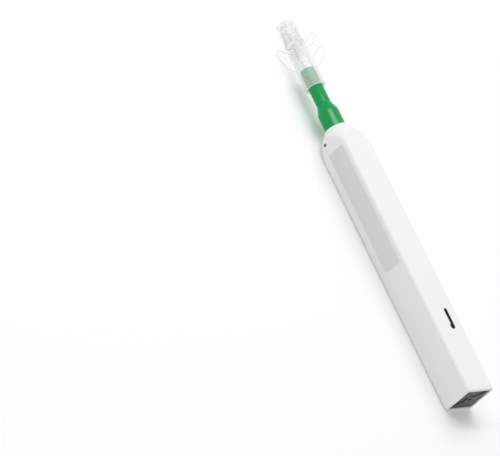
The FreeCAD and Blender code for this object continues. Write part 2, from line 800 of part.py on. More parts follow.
def make_ratchet_pawl():
    """Spring leaf from the rear bulkhead whose tip rides on the ratchet."""
    body = new_body("ratchet_pawl")
    reach = "(ratchet_radius + pawl_gap)"
    tip_x = f"(take_up_station + {reach} * cos(115))"
    tip_z = f"({reach} * sin(115))"
    low = f"({reach} + 0.4 * pawl_leaf)"
    high = f"({low} + pawl_leaf)"
    leaf = new_sketch(body, "XZ", offset=f"-({RATCHET_LOW} + {RATCHET_HIGH}) / 2")
    draw_outline(
        leaf,
        [
            (WINDOW_REAR, low),
            (f"{tip_x} - 2.5 * pawl_leaf", low),
            (tip_x, tip_z),
            (f"{tip_x} + 0.8 * pawl_leaf", high),
            (WINDOW_REAR, high),
        ],
    )
    add_pad(body, leaf, "pawl_width", middle=True)
    return body


def pen_point(x, y, z):
    """Point in pen coordinates from three formulas."""
    return Vector(number(x), number(y), number(z))


def make_thread_path(name, station, wound, low, high, guide_y, side):
    """Thread from the tangent of a wound spool, round its guide pin, to the shaft.

    side is +1 for the upper guide pin and -1 for the lower one.
    """
    beside = number("thread_radius + run_gap")
    wrap = number(wound) + beside
    reach = number("guide_radius") + beside
    pin = pen_point(GUIDE_STATION, guide_y, f"{side} * guide_height")
    centre = pen_point(station, f"({low} + {high}) / 2", "0")
    slope = 0.0
    for _ in range(3):
        # The steeper the thread comes in, the further its corner is off the pin.
        corner = pin - Vector(0, 0, side * reach / math.cos(slope))
        ahead = corner.x - centre.x
        angle = math.atan2(corner.z, ahead) + side * math.acos(
            wrap / math.hypot(ahead, corner.z)
        )
        start = centre + Vector(wrap * math.cos(angle), 0, wrap * math.sin(angle))
        slope = math.atan2(start.z - corner.z, corner.x - start.x)
    end = pen_point(f"{SHAFT_REAR} + thread_bore", "0", f"{side} * thread_apart")
    return add_shape(name, tube([start, corner, end], number("thread_radius")))


# --------------------------------------------------------------------------
# Reels
# --------------------------------------------------------------------------


def make_spool(name, station, flange, low, high):
    """Spool with a hub, two flanges and a bore for its axle."""
    return cross_turned_body(
        name,
        station,
        [
            (AXLE_BORE, low),
            (flange, low),
            (flange, f"{low} + flange_plate"),
            ("hub_radius", f"{low} + flange_plate"),
            ("hub_radius", f"{high} - flange_plate"),
            (flange, f"{high} - flange_plate"),
            (flange, high),
            (AXLE_BORE, high),
        ],
    )


def make_wound_thread(name, station, radius, low, high):
    """Thread wound on a spool between its flanges."""
    inner = f"{low} + flange_plate"
    outer = f"{high} - flange_plate"
    return cross_turned_body(
        name,
        station,
        [("hub_radius", inner), (radius, inner), (radius, outer), ("hub_radius", outer)],
    )


def add_polar_pattern(body, feature, sketch, count):
    """Repeat a feature round the normal of its own sketch."""
    pattern = body.newObject("PartDesign::PolarPattern", f"{body.Name}_pattern")
    pattern.Originals = [feature]
    pattern.Axis = (sketch, ["N_Axis"])
    pattern.Angle = 360
    pattern.setExpression("Occurrences", bound(count))
    body.Tip = pattern
    return pattern


def make_disc(name, radius, low, high):
    """Disc on the take-up axle with a running bore."""
    body = new_body(name)
    disc = new_sketch(body, "XZ", offset=f"-{low}", origin="take_up_station")
    draw_circle(disc, "0", "0", radius)
    draw_circle(disc, "0", "0", AXLE_BORE)
    add_pad(body, disc, f"{high} - {low}", reverse=True)
    return body


def make_winding_wheel():
    """Dark red wheel under the slot, notched so that a tool can turn it."""
    body = make_disc("winding_wheel", "wheel_radius", WHEEL_LOW, WHEEL_HIGH)
    notch = new_sketch(body, "XZ", offset=f"-{WHEEL_LOW}", origin="take_up_station")
    over = "(wheel_radius + notch_depth)"
    draw_outline(
        notch,
        [
            ("wheel_radius - notch_depth", "0"),
            (over, "-1.5 * notch_depth"),
            (over, "1.5 * notch_depth"),
        ],
    )
    pocket = add_pocket(body, notch, "wheel_width", reverse=False)
    add_polar_pattern(body, pocket, notch, "wheel_notches")
    return body


def make_ratchet_wheel():
    """Ratchet with a hub that keeps the reel off the frame's side plate."""
    body = make_disc("ratchet_wheel", "ratchet_radius", RATCHET_LOW, RATCHET_HIGH)
    step = "(360 / ratchet_teeth)"
    over = "(ratchet_radius + ratchet_depth)"
    gap = new_sketch(body, "XZ", offset=f"-{RATCHET_LOW}", origin="take_up_station")
    draw_outline(
        gap,
        [
            ("ratchet_radius - ratchet_depth", "0"),
            (over, "0"),
            (f"{over} * cos({step})", f"{over} * sin({step})"),
            (f"ratchet_radius * cos({step})", f"ratchet_radius * sin({step})"),
        ],
    )
    pocket = add_pocket(body, gap, "ratchet_width", reverse=False)
    add_polar_pattern(body, pocket, gap, "ratchet_teeth")

    hub = new_sketch(body, "XZ", offset=f"-{RATCHET_LOW}", origin="take_up_station")
    draw_circle(hub, "0", "0", "hub_radius")
    draw_circle(hub, "0", "0", AXLE_BORE)
    add_pad(body, hub, f"{RATCHET_LOW} + {FRAME_INNER} - side_gap")
    body.Tip = body.Group[-1]
    return body


def involute_point(base_radius, radius, offset):
    """Point of an involute flank at a radius, turned by offset radians."""
    roll = math.sqrt(max((radius / base_radius) ** 2 - 1, 0))
    angle = roll - math.atan(roll) + offset
    return radius, angle


def make_drive_pinion():
    """Involute pinion that rolls on the rack."""
    module = number("gear_module")
    teeth = round(number("gear_teeth"))
    pitch = module * teeth / 2
    base = pitch * math.cos(math.radians(number("gear_angle")))
    tip = pitch + module
    root = pitch - 1.25 * module
    _, at_pitch = involute_point(base, pitch, 0)
    thickness = math.pi / (2 * teeth) - number("gear_backlash") / (4 * pitch)
    flank = [
        involute_point(base, base + (tip - base) * share, -thickness - at_pitch)
        for share in (0, 0.35, 0.7, 1)
    ]
    half_tooth = [(root, flank[0][1])] + flank
    outline = []
    for index in range(teeth):
        centre = math.radians(270) + 2 * math.pi * index / teeth
        outline += [(radius, centre + angle) for radius, angle in half_tooth]
        outline += [(radius, centre - angle) for radius, angle in reversed(half_tooth)]
    middle = Vector(number("take_up_station"), number(GEAR_LOW), 0)
    points = [
        middle + Vector(radius * math.cos(angle), 0, radius * math.sin(angle))
        for radius, angle in outline
    ]
    blank = Part.Face(Part.makePolygon(points + points[:1]))
    width = Vector(0, number("gear_width"), 0)
    bore = Part.makeCylinder(number(AXLE_BORE), width.y, middle, Vector(0, 1, 0))
    return add_shape("drive_pinion", blank.extrude(width).cut(bore))


# --------------------------------------------------------------------------
# Turning tip
# --------------------------------------------------------------------------

SHAFT_END = f"({NOZZLE_END} + ribbon_depth)"
CAM_END = f"({BRIDGE_MIDDLE} + stroke + bridge_length)"
TIP_SEAT = f"({FLANGE_REAR} + tip_spring_length)"


def make_rotary_shaft():
    """Tip shaft with its rear journal, helical cam groove and spring collar."""
    collar_front = f"({MID_START} - stop_gap)"
    collar_rear = f"({collar_front} - collar_length)"
    spigot_end = f"({SHAFT_END} - spigot_length - stop_gap)"
    spigot_hole = "(spigot_radius + seat_gap)"
    blank = turned_body(
        "rotary_shaft_blank",
        [
            (SHAFT_REAR, "thread_bore"),
            (SHAFT_REAR, "journal_radius"),
            (collar_rear, "journal_radius"),
            (collar_rear, "collar_radius"),
            (collar_front, "collar_radius"),
            (collar_front, "journal_radius"),
            (f"{MID_FRONT} + stop_gap", "journal_radius"),
            (f"{MID_FRONT} + stop_gap", "cam_radius"),
            (CAM_END, "cam_radius"),
            (CAM_END, "shaft_radius"),
            (TIP_SEAT, "shaft_radius"),
            (TIP_SEAT, "tip_collar_radius"),
            (f"{TIP_SEAT} + collar_length", "tip_collar_radius"),
            (f"{TIP_SEAT} + collar_length", "shaft_radius"),
            (SHAFT_END, "shaft_radius"),
            (SHAFT_END, spigot_hole),
            (spigot_end, spigot_hole),
            (spigot_end, "0"),
            (MID_FRONT, "0"),
            (MID_FRONT, "thread_bore"),
        ],
    )
    half = number("groove_width") / 2
    low = number("cam_radius - groove_depth")
    high = number("cam_radius + groove_depth")
    section = [(-half, low), (half, low), (half, high), (-half, high)]
    pitch = number("stroke") * 360 / number("turn_angle")
    spare = number("groove_spare")
    groove = add_shape(
        "rotary_shaft_groove",
        helix_shape(
            section, -spare, number("turn_angle") + spare, pitch, number(BRIDGE_MIDDLE), 12
        ),
    )
    shaft = doc.addObject("Part::Cut", "rotary_shaft")
    shaft.Label = "rotary_shaft"
    shaft.Base = blank
    shaft.Tool = groove
    return shaft


def make_cleaning_head():
    """White tip that enters the connector, slotted for the thread."""
    body = turned_body(
        "cleaning_head",
        [
            (f"{SHAFT_END} - spigot_length", "0"),
            (f"{SHAFT_END} - spigot_length", "spigot_radius"),
            (SHAFT_END, "spigot_radius"),
            (SHAFT_END, "head_radius"),
            (f"{HEAD_FRONT} - edge_break", "head_radius"),
            (HEAD_FRONT, "head_radius - edge_break"),
            (HEAD_FRONT, "0"),
        ],
    )
    floor = "(head_radius - ribbon_depth)"
    half = "(ribbon_width / 2 + seat_gap)"
    for offset, upward in ((floor, True), (f"-{floor}", False)):
        slot = new_sketch(body, "XY", offset=offset)
        draw_box(slot, SHAFT_END, f"-{half}", f"{HEAD_FRONT} + edge_break", half)
        add_pocket(body, slot, "head_radius", reverse=upward)
    return body


def make_tip_thread():
    """Thread that runs out, over the end of the cleaning head, and back."""
    body = new_body("tip_thread")
    inner = "(head_radius - ribbon_depth + seat_gap)"
    outer = f"({inner} + ribbon_film)"
    front = f"({HEAD_FRONT} + seat_gap)"
    strap = new_sketch(body, "XZ")
    draw_outline(
        strap,
        [
            (SHAFT_END, f"-{outer}"),
            (front, f"-{outer}"),
            (f"{front} + ribbon_film", f"-{inner}"),
            (f"{front} + ribbon_film", inner),
            (front, outer),
            (SHAFT_END, outer),
            (SHAFT_END, inner),
            (front, inner),
            (front, f"-{inner}"),
            (SHAFT_END, f"-{inner}"),
        ],
    )
    add_pad(body, strap, "ribbon_width", middle=True)
    return body


# --------------------------------------------------------------------------
# Caps and tether loops
# --------------------------------------------------------------------------

COLLAR_END = f"({CAP_END} + collar_front_length)"


def make_guide_cap():
    """Clear guide cap with an inner tube that centres a ferrule on the tip."""
    bore = "(tube_radius + cap_gap)"
    ring = "(cap_radius + cap_ring)"
    inside_front = f"({CAP_END} - cap_front)"
    tube_rear = f"({inside_front} - ferrule_tube_length)"
    head_space = f"({HEAD_FRONT} + 2 * edge_break)"
    return turned_body(
        "guide_cap",
        [
            (CAP_START, f"{bore} + edge_break"),
            (CAP_START, ring),
            (f"{CAP_START} + cap_ring_length", ring),
            (f"{CAP_START} + cap_ring_length + edge_break", "cap_radius"),
            (f"{CAP_END} - cap_ring_length - edge_break", "cap_radius"),
            (f"{CAP_END} - cap_ring_length", ring),
            (CAP_END, ring),
            (CAP_END, "collar_front_radius"),
            (f"{COLLAR_END} - edge_break", "collar_front_radius"),
            (COLLAR_END, "collar_front_radius - edge_break"),
            (COLLAR_END, "ferrule_radius + edge_break"),
            (f"{COLLAR_END} - edge_break", "ferrule_radius"),
            (head_space, "ferrule_radius"),
            (head_space, "head_passage"),
            (tube_rear, "head_passage"),
            (tube_rear, "ferrule_tube"),
            (inside_front, "ferrule_tube"),
            (inside_front, bore),
            (f"{CAP_START} + edge_break", bore),
        ],
    )


def make_dust_cap():
    """Closed cap over the guide cap's front collar."""
    start = f"({CAP_END} + dust_gap)"
    end = f"({start} + dust_length)"
    bore = "(collar_front_radius + cap_gap)"
    step = f"({COLLAR_END} + dust_step)"
    return turned_body(
        "dust_cap",
        [
            (start, bore),
            (start, "dust_radius"),
            (f"{end} - dust_round", "dust_radius"),
            (f"{end} - 0.29 * dust_round", "dust_radius - 0.29 * dust_round"),
            (end, "dust_radius - dust_round"),
            (end, "0"),
            (f"{end} - dust_wall", "0"),
            (f"{end} - dust_wall", f"{bore} - 2 * edge_break"),
            (step, f"{bore} - 2 * edge_break"),
            (step, bore),
        ],
    )


# Each loop is drawn in a plane through the pen's axis, as (distance from the
# guide cap's rear rim towards the tip, height over the cap's wall).
TETHER_LOOPS = {
    "tether_loop_left": (
        -1,
        [
            (11.9, 0.0), (12.0, 1.5), (15.1, 2.6), (18.0, 3.8), (21.3, 4.7),
            (24.2, 4.8), (26.0, 3.3), (25.0, 1.8), (22.7, 1.2), (22.5, 0.0),
        ],
    ),
    "tether_loop_front": (
        1,
        [
            (23.6, 0.0), (23.7, 1.0), (26.1, 2.3), (27.3, 4.2), (26.8, 5.7),
            (25.0, 6.1), (23.1, 5.2), (21.9, 3.3), (21.2, 1.4), (21.2, 0.0),
        ],
    ),
    "tether_loop_rear": (
        1,
        [
            (15.5, 0.0), (15.6, 1.2), (17.5, 3.1), (18.7, 5.0), (18.2, 6.3),
            (16.7, 6.7), (14.5, 5.8), (12.3, 4.0), (10.1, 1.6), (9.9, 0.0),
        ],
    ),
}


def make_tether_loop(name, side, route):
    """Thin moulded loop on one side of the guide cap."""
    wall = number("cap_radius + tether_gap")
    rim = number(CAP_START)
    across = Vector(0, -1, 1).normalize() * side
    points = [
        Vector(rim + ahead, 0, 0) + across * (wall + height) for ahead, height in route
    ]
    return add_shape(name, tube(points, number("tether_radius")))


# --------------------------------------------------------------------------
# Assembly
# --------------------------------------------------------------------------

SUPPLY_LOW = f"(-{SPOOL_HIGH})"
SUPPLY_HIGH = f"({GEAR_HIGH} + side_gap)"

SUBPARTS = [
    make_housing_shell(),
    make_end_plug(),
    make_label(),
    make_drive_rack(),
    make_cam_bridge(),
    make_cam_pin(),
    make_nozzle_shell(),
    make_inner_frame(),
    make_cross_pin("take_up_axle", "take_up_station", "0", "axle_radius"),
    make_cross_pin("supply_axle", "supply_station", "0", "axle_radius"),
    make_cross_pin("upper_guide_pin", GUIDE_STATION, "guide_height", "guide_radius"),
    make_cross_pin("lower_guide_pin", GUIDE_STATION, "-guide_height", "guide_radius"),
    make_ratchet_pawl(),
    make_thread_path(
        "feed_thread",
        "supply_station",
        "supply_wound",
        SUPPLY_LOW,
        SUPPLY_HIGH,
        f"({SUPPLY_LOW} + {SUPPLY_HIGH}) / 3",
        -1,
    ),
    make_thread_path(
        "return_thread",
        "take_up_station",
        "take_up_wound",
        SPOOL_LOW,
        SPOOL_HIGH,
        "thread_shift",
        1,
    ),
    make_spool("take_up_spool", "take_up_station", "take_up_flange", SPOOL_LOW, SPOOL_HIGH),
    make_wound_thread(
        "used_thread", "take_up_station", "take_up_wound", SPOOL_LOW, SPOOL_HIGH
    ),
    make_drive_pinion(),
    make_winding_wheel(),
    make_ratchet_wheel(),
    make_spool("supply_spool", "supply_station", "supply_flange", SUPPLY_LOW, SUPPLY_HIGH),
    make_wound_thread(
        "clean_thread", "supply_station", "supply_wound", SUPPLY_LOW, SUPPLY_HIGH
    ),
    make_rotary_shaft(),
    make_cleaning_head(),
    make_tip_thread(),
    coil_spring(
        "return_spring", PLUG_FRONT, "frame_rear", "spring_radius", "spring_wire", "spring_turns"
    ),
    coil_spring(
        "tip_spring",
        FLANGE_REAR,
        TIP_SEAT,
        "tip_spring_radius",
        "tip_spring_wire",
        "tip_spring_turns",
    ),
    make_guide_cap(),
    make_dust_cap(),
]
SUBPARTS += [make_tether_loop(name, *loop) for name, loop in TETHER_LOOPS.items()]

doc.recompute()


def check_document():
    """Stop if any object failed or any sub-part has no valid solid."""
    for item in doc.Objects:
        if "Invalid" in item.State or "Error" in item.State:
            raise RuntimeError(f"{item.Name} failed: {item.getStatusString()}")
    for piece in SUBPARTS:
        shape = piece.Shape
        if shape.isNull() or not shape.isValid() or not shape.Solids:
            raise RuntimeError(f"{piece.Label} has no valid solid")


check_document()
os.makedirs("parts", exist_ok=True)
for piece in SUBPARTS:
    piece.Shape.exportStep(f"parts/{piece.Label}.step")
    print(f"{piece.Label}: {len(piece.Shape.Solids)} solid, {piece.Shape.Volume:.2f} mm3")
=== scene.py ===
"""Looks of the fibre connector cleaning pen, dressed round its fixed frame.

Every piece is placed in pen stations: millimetres from the sleeve's rear rim
towards the cleaning tip, along the pen's axis.  The sleeve, the nozzle, the two
clear caps, the tether loops and the springs are built here; the other pieces of
the mechanism keep their own shapes and get their finishes.  Lengths of the
sub-assemblies are in millimetres, those of the finishes and the studio in metres,
and angles are in degrees.
"""

import json
import logging
import math
from dataclasses import dataclass, field
from enum import Enum
from typing import Any, Optional, Sequence

import bmesh
import bpy
from mathutils import Matrix, Vector


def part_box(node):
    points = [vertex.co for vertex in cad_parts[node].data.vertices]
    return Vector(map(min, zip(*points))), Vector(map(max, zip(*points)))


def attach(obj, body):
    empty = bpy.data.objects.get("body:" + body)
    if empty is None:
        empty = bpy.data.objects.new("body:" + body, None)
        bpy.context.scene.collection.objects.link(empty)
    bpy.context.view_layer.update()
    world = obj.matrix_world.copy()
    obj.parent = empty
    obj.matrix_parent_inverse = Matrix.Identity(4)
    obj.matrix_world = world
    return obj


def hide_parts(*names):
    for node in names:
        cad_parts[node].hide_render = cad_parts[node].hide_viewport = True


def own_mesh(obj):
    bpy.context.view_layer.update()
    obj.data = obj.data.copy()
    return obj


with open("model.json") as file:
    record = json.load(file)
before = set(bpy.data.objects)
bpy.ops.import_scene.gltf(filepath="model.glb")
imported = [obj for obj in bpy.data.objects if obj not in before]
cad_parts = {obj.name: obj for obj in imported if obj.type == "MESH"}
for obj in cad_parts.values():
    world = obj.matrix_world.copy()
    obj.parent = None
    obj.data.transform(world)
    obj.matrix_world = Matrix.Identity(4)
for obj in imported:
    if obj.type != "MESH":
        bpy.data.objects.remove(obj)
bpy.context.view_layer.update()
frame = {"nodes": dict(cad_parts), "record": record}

LOG = logging.getLogger("cleaning_pen")
MM = 0.001
MERGE = 1e-7  # metres within which two vertices are one
POLE = 1e-6  # millimetres of radius under which a ring is a single vertex
CREASE = 32.0  # degrees over which an edge of a moulding stays sharp
ROD_CREASE = 50.0  # the same for rods and coils
ROUNDING_SHARE = 0.45  # most of an edge that one rounding may take
NEAR = 0.01  # millimetres within which a face counts as lying on a plane
ROD_STEPS = 10  # chords in each span of a smooth rod
ROD_ORDER = 4  # order of the smooth rod's curve
DIAGONAL = 1.4142  # corner to corner over side to side of a square

Colour = tuple[float, float, float]
Point2 = tuple[float, float]


class Slot(Enum):
    """Material slots of the record."""

    WHITE = "white_plastic"
    DARK = "dark_plastic"
    LABEL = "label_film"
    NATURAL = "natural_plastic"
    STEEL = "steel"
    GREEN = "green_plastic"
    RED = "red_plastic"
    FIBRE = "clean_fibre"
    CLEAR = "clear_plastic"


class Side(Enum):
    """Side of the pen's axis that a tether loop stands on."""

    LABEL_SIDE = -1
    FAR_SIDE = 1


# --------------------------------------------------------------------------
# Places and outlines
# --------------------------------------------------------------------------


@dataclass(frozen=True)
class PenAxis:
    """The pen's own axis, with stations counted from the rear rim."""

    rear: float
    height: float

    @classmethod
    def from_frame(cls) -> "PenAxis":
        """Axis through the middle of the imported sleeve.

        Returns:
            The axis.
        """
        low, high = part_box("housing_shell")
        return cls(rear=high.x, height=(low.z + high.z) / 2)

    def point(self, station: float, across: float = 0.0, up: float = 0.0) -> Vector:
        """Point at a station, moved across and up from the axis.

        Args:
            station: Millimetres from the rear rim.
            across: Millimetres away from the label face.
            up: Millimetres above the axis.

        Returns:
            The point in metres.
        """
        return Vector((self.rear - station * MM, across * MM, self.height + up * MM))


@dataclass(frozen=True)
class Corner:
    """Corner of an outline, with the radius that rounds it, in millimetres."""

    along: float
    out: float
    round: float = 0.0


def rounded_outline(corners: Sequence[Corner], steps: int = 5) -> list[Point2]:
    """Closed outline with its corners rounded.

    Args:
        corners: Corners in order, each with its own rounding.
        steps: Number of chords in each rounding.

    Returns:
        Points of the outline, in the same order.
    """
    points: list[Point2] = []
    for index, corner in enumerate(corners):
        here = Vector((corner.along, corner.out))
        last = corners[index - 1]
        following = corners[(index + 1) % len(corners)]
        to_last = Vector((last.along, last.out)) - here
        to_next = Vector((following.along, following.out)) - here
        if corner.round <= 0:
            points.append((here.x, here.y))
            continue
        half = to_last.angle(to_next) / 2
        back = min(
            corner.round / math.tan(half),
            ROUNDING_SHARE * to_last.length,
            ROUNDING_SHARE * to_next.length,
        )
        radius = back * math.tan(half)
        inward = (to_last.normalized() + to_next.normalized()).normalized()
        centre = here + inward * radius / math.sin(half)
        start = here + to_last.normalized() * back - centre
        end = here + to_next.normalized() * back - centre
        first = math.atan2(start.y, start.x)
        turn = math.atan2(end.y, end.x) - first
        turn = (turn + math.pi) % math.tau - math.pi
        for step in range(steps + 1):
            angle = first + turn * step / steps
            points.append(
                (centre.x + radius * math.cos(angle), centre.y + radius * math.sin(angle))
            )
    return points


# --------------------------------------------------------------------------
# Mesh tools
# --------------------------------------------------------------------------


def shade(mesh: bpy.types.Mesh, crease: float) -> None:
    """Shade a mesh smooth but for edges sharper than the crease, in degrees."""
    mesh.shade_smooth()
    mesh.set_sharp_from_angle(angle=math.radians(crease))


def to_object(
    name: str, work: bmesh.types.BMesh, crease: float = CREASE
) -> bpy.types.Object:
    """Turn worked mesh data into a smooth-shaded object.

    Args:
        name: Name of the piece.
        work: Mesh data, freed afterwards.
        crease: Angle in degrees over which an edge stays sharp.

    Returns:
        The linked object.
    """
    bmesh.ops.remove_doubles(work, verts=work.verts, dist=MERGE)
    bmesh.ops.recalc_face_normals(work, faces=work.faces)
    mesh = bpy.data.meshes.new(name)
    work.to_mesh(mesh)
    work.free()
    shade(mesh, crease)
    piece = bpy.data.objects.new(name, mesh)
    bpy.context.scene.collection.objects.link(piece)
    return piece


def join_rings(
    work: bmesh.types.BMesh, rings: Sequence[Sequence[bmesh.types.BMVert]]
) -> None:
    """Skin a closed loop of rings; a ring of one vertex is a pole.

    Args:
        work: Mesh data that holds the vertices.
        rings: Rings in order, each of one vertex or of one shared number.
    """
    for index, ring in enumerate(rings):
        following = rings[(index + 1) % len(rings)]
        if len(ring) == 1 and len(following) == 1:
            continue
        for side in range(max(len(ring), len(following))):
            corners = [
                ring[side % len(ring)],
                ring[(side + 1) % len(ring)],
                following[(side + 1) % len(following)],
                following[side % len(following)],
            ]
            work.faces.new(list(dict.fromkeys(corners)))


def turned(
    name: str, axis: PenAxis, outline: Sequence[Point2], segments: int = 96
) -> bpy.types.Object:
    """Piece turned about the pen's axis.

    Args:
        name: Name of the piece.
        axis: The pen's axis.
        outline: Closed outline of (station, radius) points.
        segments: Number of sides round the axis.

    Returns:
        The turned piece.
    """
    work = bmesh.new()
    rings = []
    for station, radius in outline:
        if radius < POLE:
            rings.append([work.verts.new(axis.point(station))])
            continue
        angles = [math.tau * side / segments for side in range(segments)]
        rings.append(
            [
                work.verts.new(
                    axis.point(station, radius * math.cos(a), radius * math.sin(a))
                )
                for a in angles
            ]
        )
    join_rings(work, rings)
    return to_object(name, work)


def prism(name: str, layers: Sequence[Sequence[Vector]]) -> bpy.types.Object:
    """Closed solid through layers of points, used as a cutter.

    Args:
        name: Name of the solid.
        layers: Outlines with one number of points, from one end to the other.

    Returns:
        The solid as an object.
    """
    work = bmesh.new()
    rings = [[work.verts.new(point) for point in layer] for layer in layers]
    for lower, upper in zip(rings, rings[1:]):
        for side in range(len(lower)):
            ahead = (side + 1) % len(lower)
            work.faces.new([lower[side], lower[ahead], upper[ahead], upper[side]])
    work.faces.new(list(reversed(rings[0])))
    work.faces.new(rings[-1])
    return to_object(name, work)


def carve(piece: bpy.types.Object, cutters: Sequence[bpy.types.Object]) -> None:
    """Cut solids out of a piece and remove them from the scene.

    Args:
        piece: Piece that is cut.
        cutters: Solids to take away.
    """
    for cutter in cutters:
        cut = piece.modifiers.new("cut", "BOOLEAN")
        cut.operation = "DIFFERENCE"
        cut.solver = "EXACT"
        cut.object = cutter
    graph = bpy.context.evaluated_depsgraph_get()
    mesh = bpy.data.meshes.new_from_object(piece.evaluated_get(graph))
    piece.modifiers.clear()
    piece.data = mesh
    shade(mesh, CREASE)
    for cutter in cutters:
        bpy.data.objects.remove(cutter)


def round_rod(
    name: str, points: Sequence[Vector], radius: float, smooth: bool, sides: int = 4
) -> bpy.types.Object:
    """Round rod along a line of points, as a mesh with closed ends.

    Args:
        name: Name of the rod.
        points: Points that the rod follows, in metres.
        radius: Radius of the rod, in metres.
        smooth: True to pull one smooth curve through the points' run.
        sides: Resolution of the rod's section.

    Returns:
        The rod.
    """
    curve = bpy.data.curves.new(name, "CURVE")
    curve.dimensions = "3D"
    curve.bevel_depth = radius
    curve.bevel_resolution = sides
    curve.use_fill_caps = True
    curve.resolution_u = ROD_STEPS
    spline = curve.splines.new("NURBS" if smooth else "POLY")
    spline.points.add(len(points) - 1)
    for knot, point in zip(spline.points, points):
        knot.co = (*point, 1.0)
    if smooth:
        spline.order_u = ROD_ORDER
        spline.use_endpoint_u = True
    holder = bpy.data.objects.new(f"{name}_line", curve)
    bpy.context.scene.collection.objects.link(holder)
    graph = bpy.context.evaluated_depsgraph_get()
    mesh = bpy.data.meshes.new_from_object(holder.evaluated_get(graph))
    bpy.data.objects.remove(holder)
    work = bmesh.new()
    work.from_mesh(mesh)
    return to_object(name, work, crease=ROD_CREASE)


# --------------------------------------------------------------------------
# Shader effects shared by the finishes
# --------------------------------------------------------------------------


class Bench:
    """Places and links nodes in one shader tree."""

    def __init__(self, tree: bpy.types.NodeTree) -> None:
        """Start on a tree."""
        self.tree = tree

    def add(
        self, kind: str, inputs: Optional[dict[Any, Any]] = None, **settings: Any
    ) -> bpy.types.Node:
        """Place a node and fill its sockets.

        Args:
            kind: Type of the node, without its ShaderNode prefix.
            inputs: Value or output socket for each input, by name or number.
            settings: Properties of the node.

        Returns:
            The node.
        """
        node = self.tree.nodes.new(f"ShaderNode{kind}")
        for key, value in settings.items():
            setattr(node, key, value)
        for key, value in (inputs or {}).items():
            self.feed(node.inputs[key], value)
        return node

    def feed(self, socket: bpy.types.NodeSocket, value: Any) -> None:
        """Give an input a plain value, a colour or another node's output.

        Args:
            socket: Input to fill.
            value: Number, tuple or output socket.
        """
        if isinstance(value, bpy.types.NodeSocket):
            self.tree.links.new(value, socket)
        elif isinstance(value, tuple) and len(value) == 3 and socket.type == "RGBA":
            socket.default_value = (*value, 1.0)
        else:
            socket.default_value = value

    def group(self, tree: bpy.types.NodeTree, inputs: dict[str, Any]) -> bpy.types.Node:
        """Place a shared node group with its own values.

        Args:
            tree: The group.
            inputs: Value or output socket for each named input.

        Returns:
            The group node.
        """
        node = self.tree.nodes.new("ShaderNodeGroup")
        node.node_tree = tree
        for key, value in inputs.items():
            self.feed(node.inputs[key], value)
        return node

    def bump(
        self, shader: bpy.types.Node, height: bpy.types.NodeSocket, depth: float
    ) -> None:
        """Feed a shader's normal from a height."""
        node = self.add("Bump", {"Height": height, "Distance": depth})
        self.feed(shader.inputs["Normal"], node.outputs["Normal"])

    def math(self, operation: str, *values: Any) -> bpy.types.NodeSocket:
        """Result of a math node on its values."""
        inputs = dict(enumerate(values))
        return self.add("Math", inputs, operation=operation).outputs[0]

    def blend(self, share: Any, first: Any, second: Any) -> bpy.types.NodeSocket:
        """Colour between two colours."""
        node = self.add("Mix", {0: share, 6: first, 7: second}, data_type="RGBA")
        return node.outputs[2]

    def spread(self, value: Any, low: float, high: float) -> bpy.types.NodeSocket:
        """Value stretched so that low to high covers 0 to 1, clipped."""
        inputs = {"Value": value, "From Min": low, "From Max": high}
        return self.add("MapRange", inputs).outputs[0]


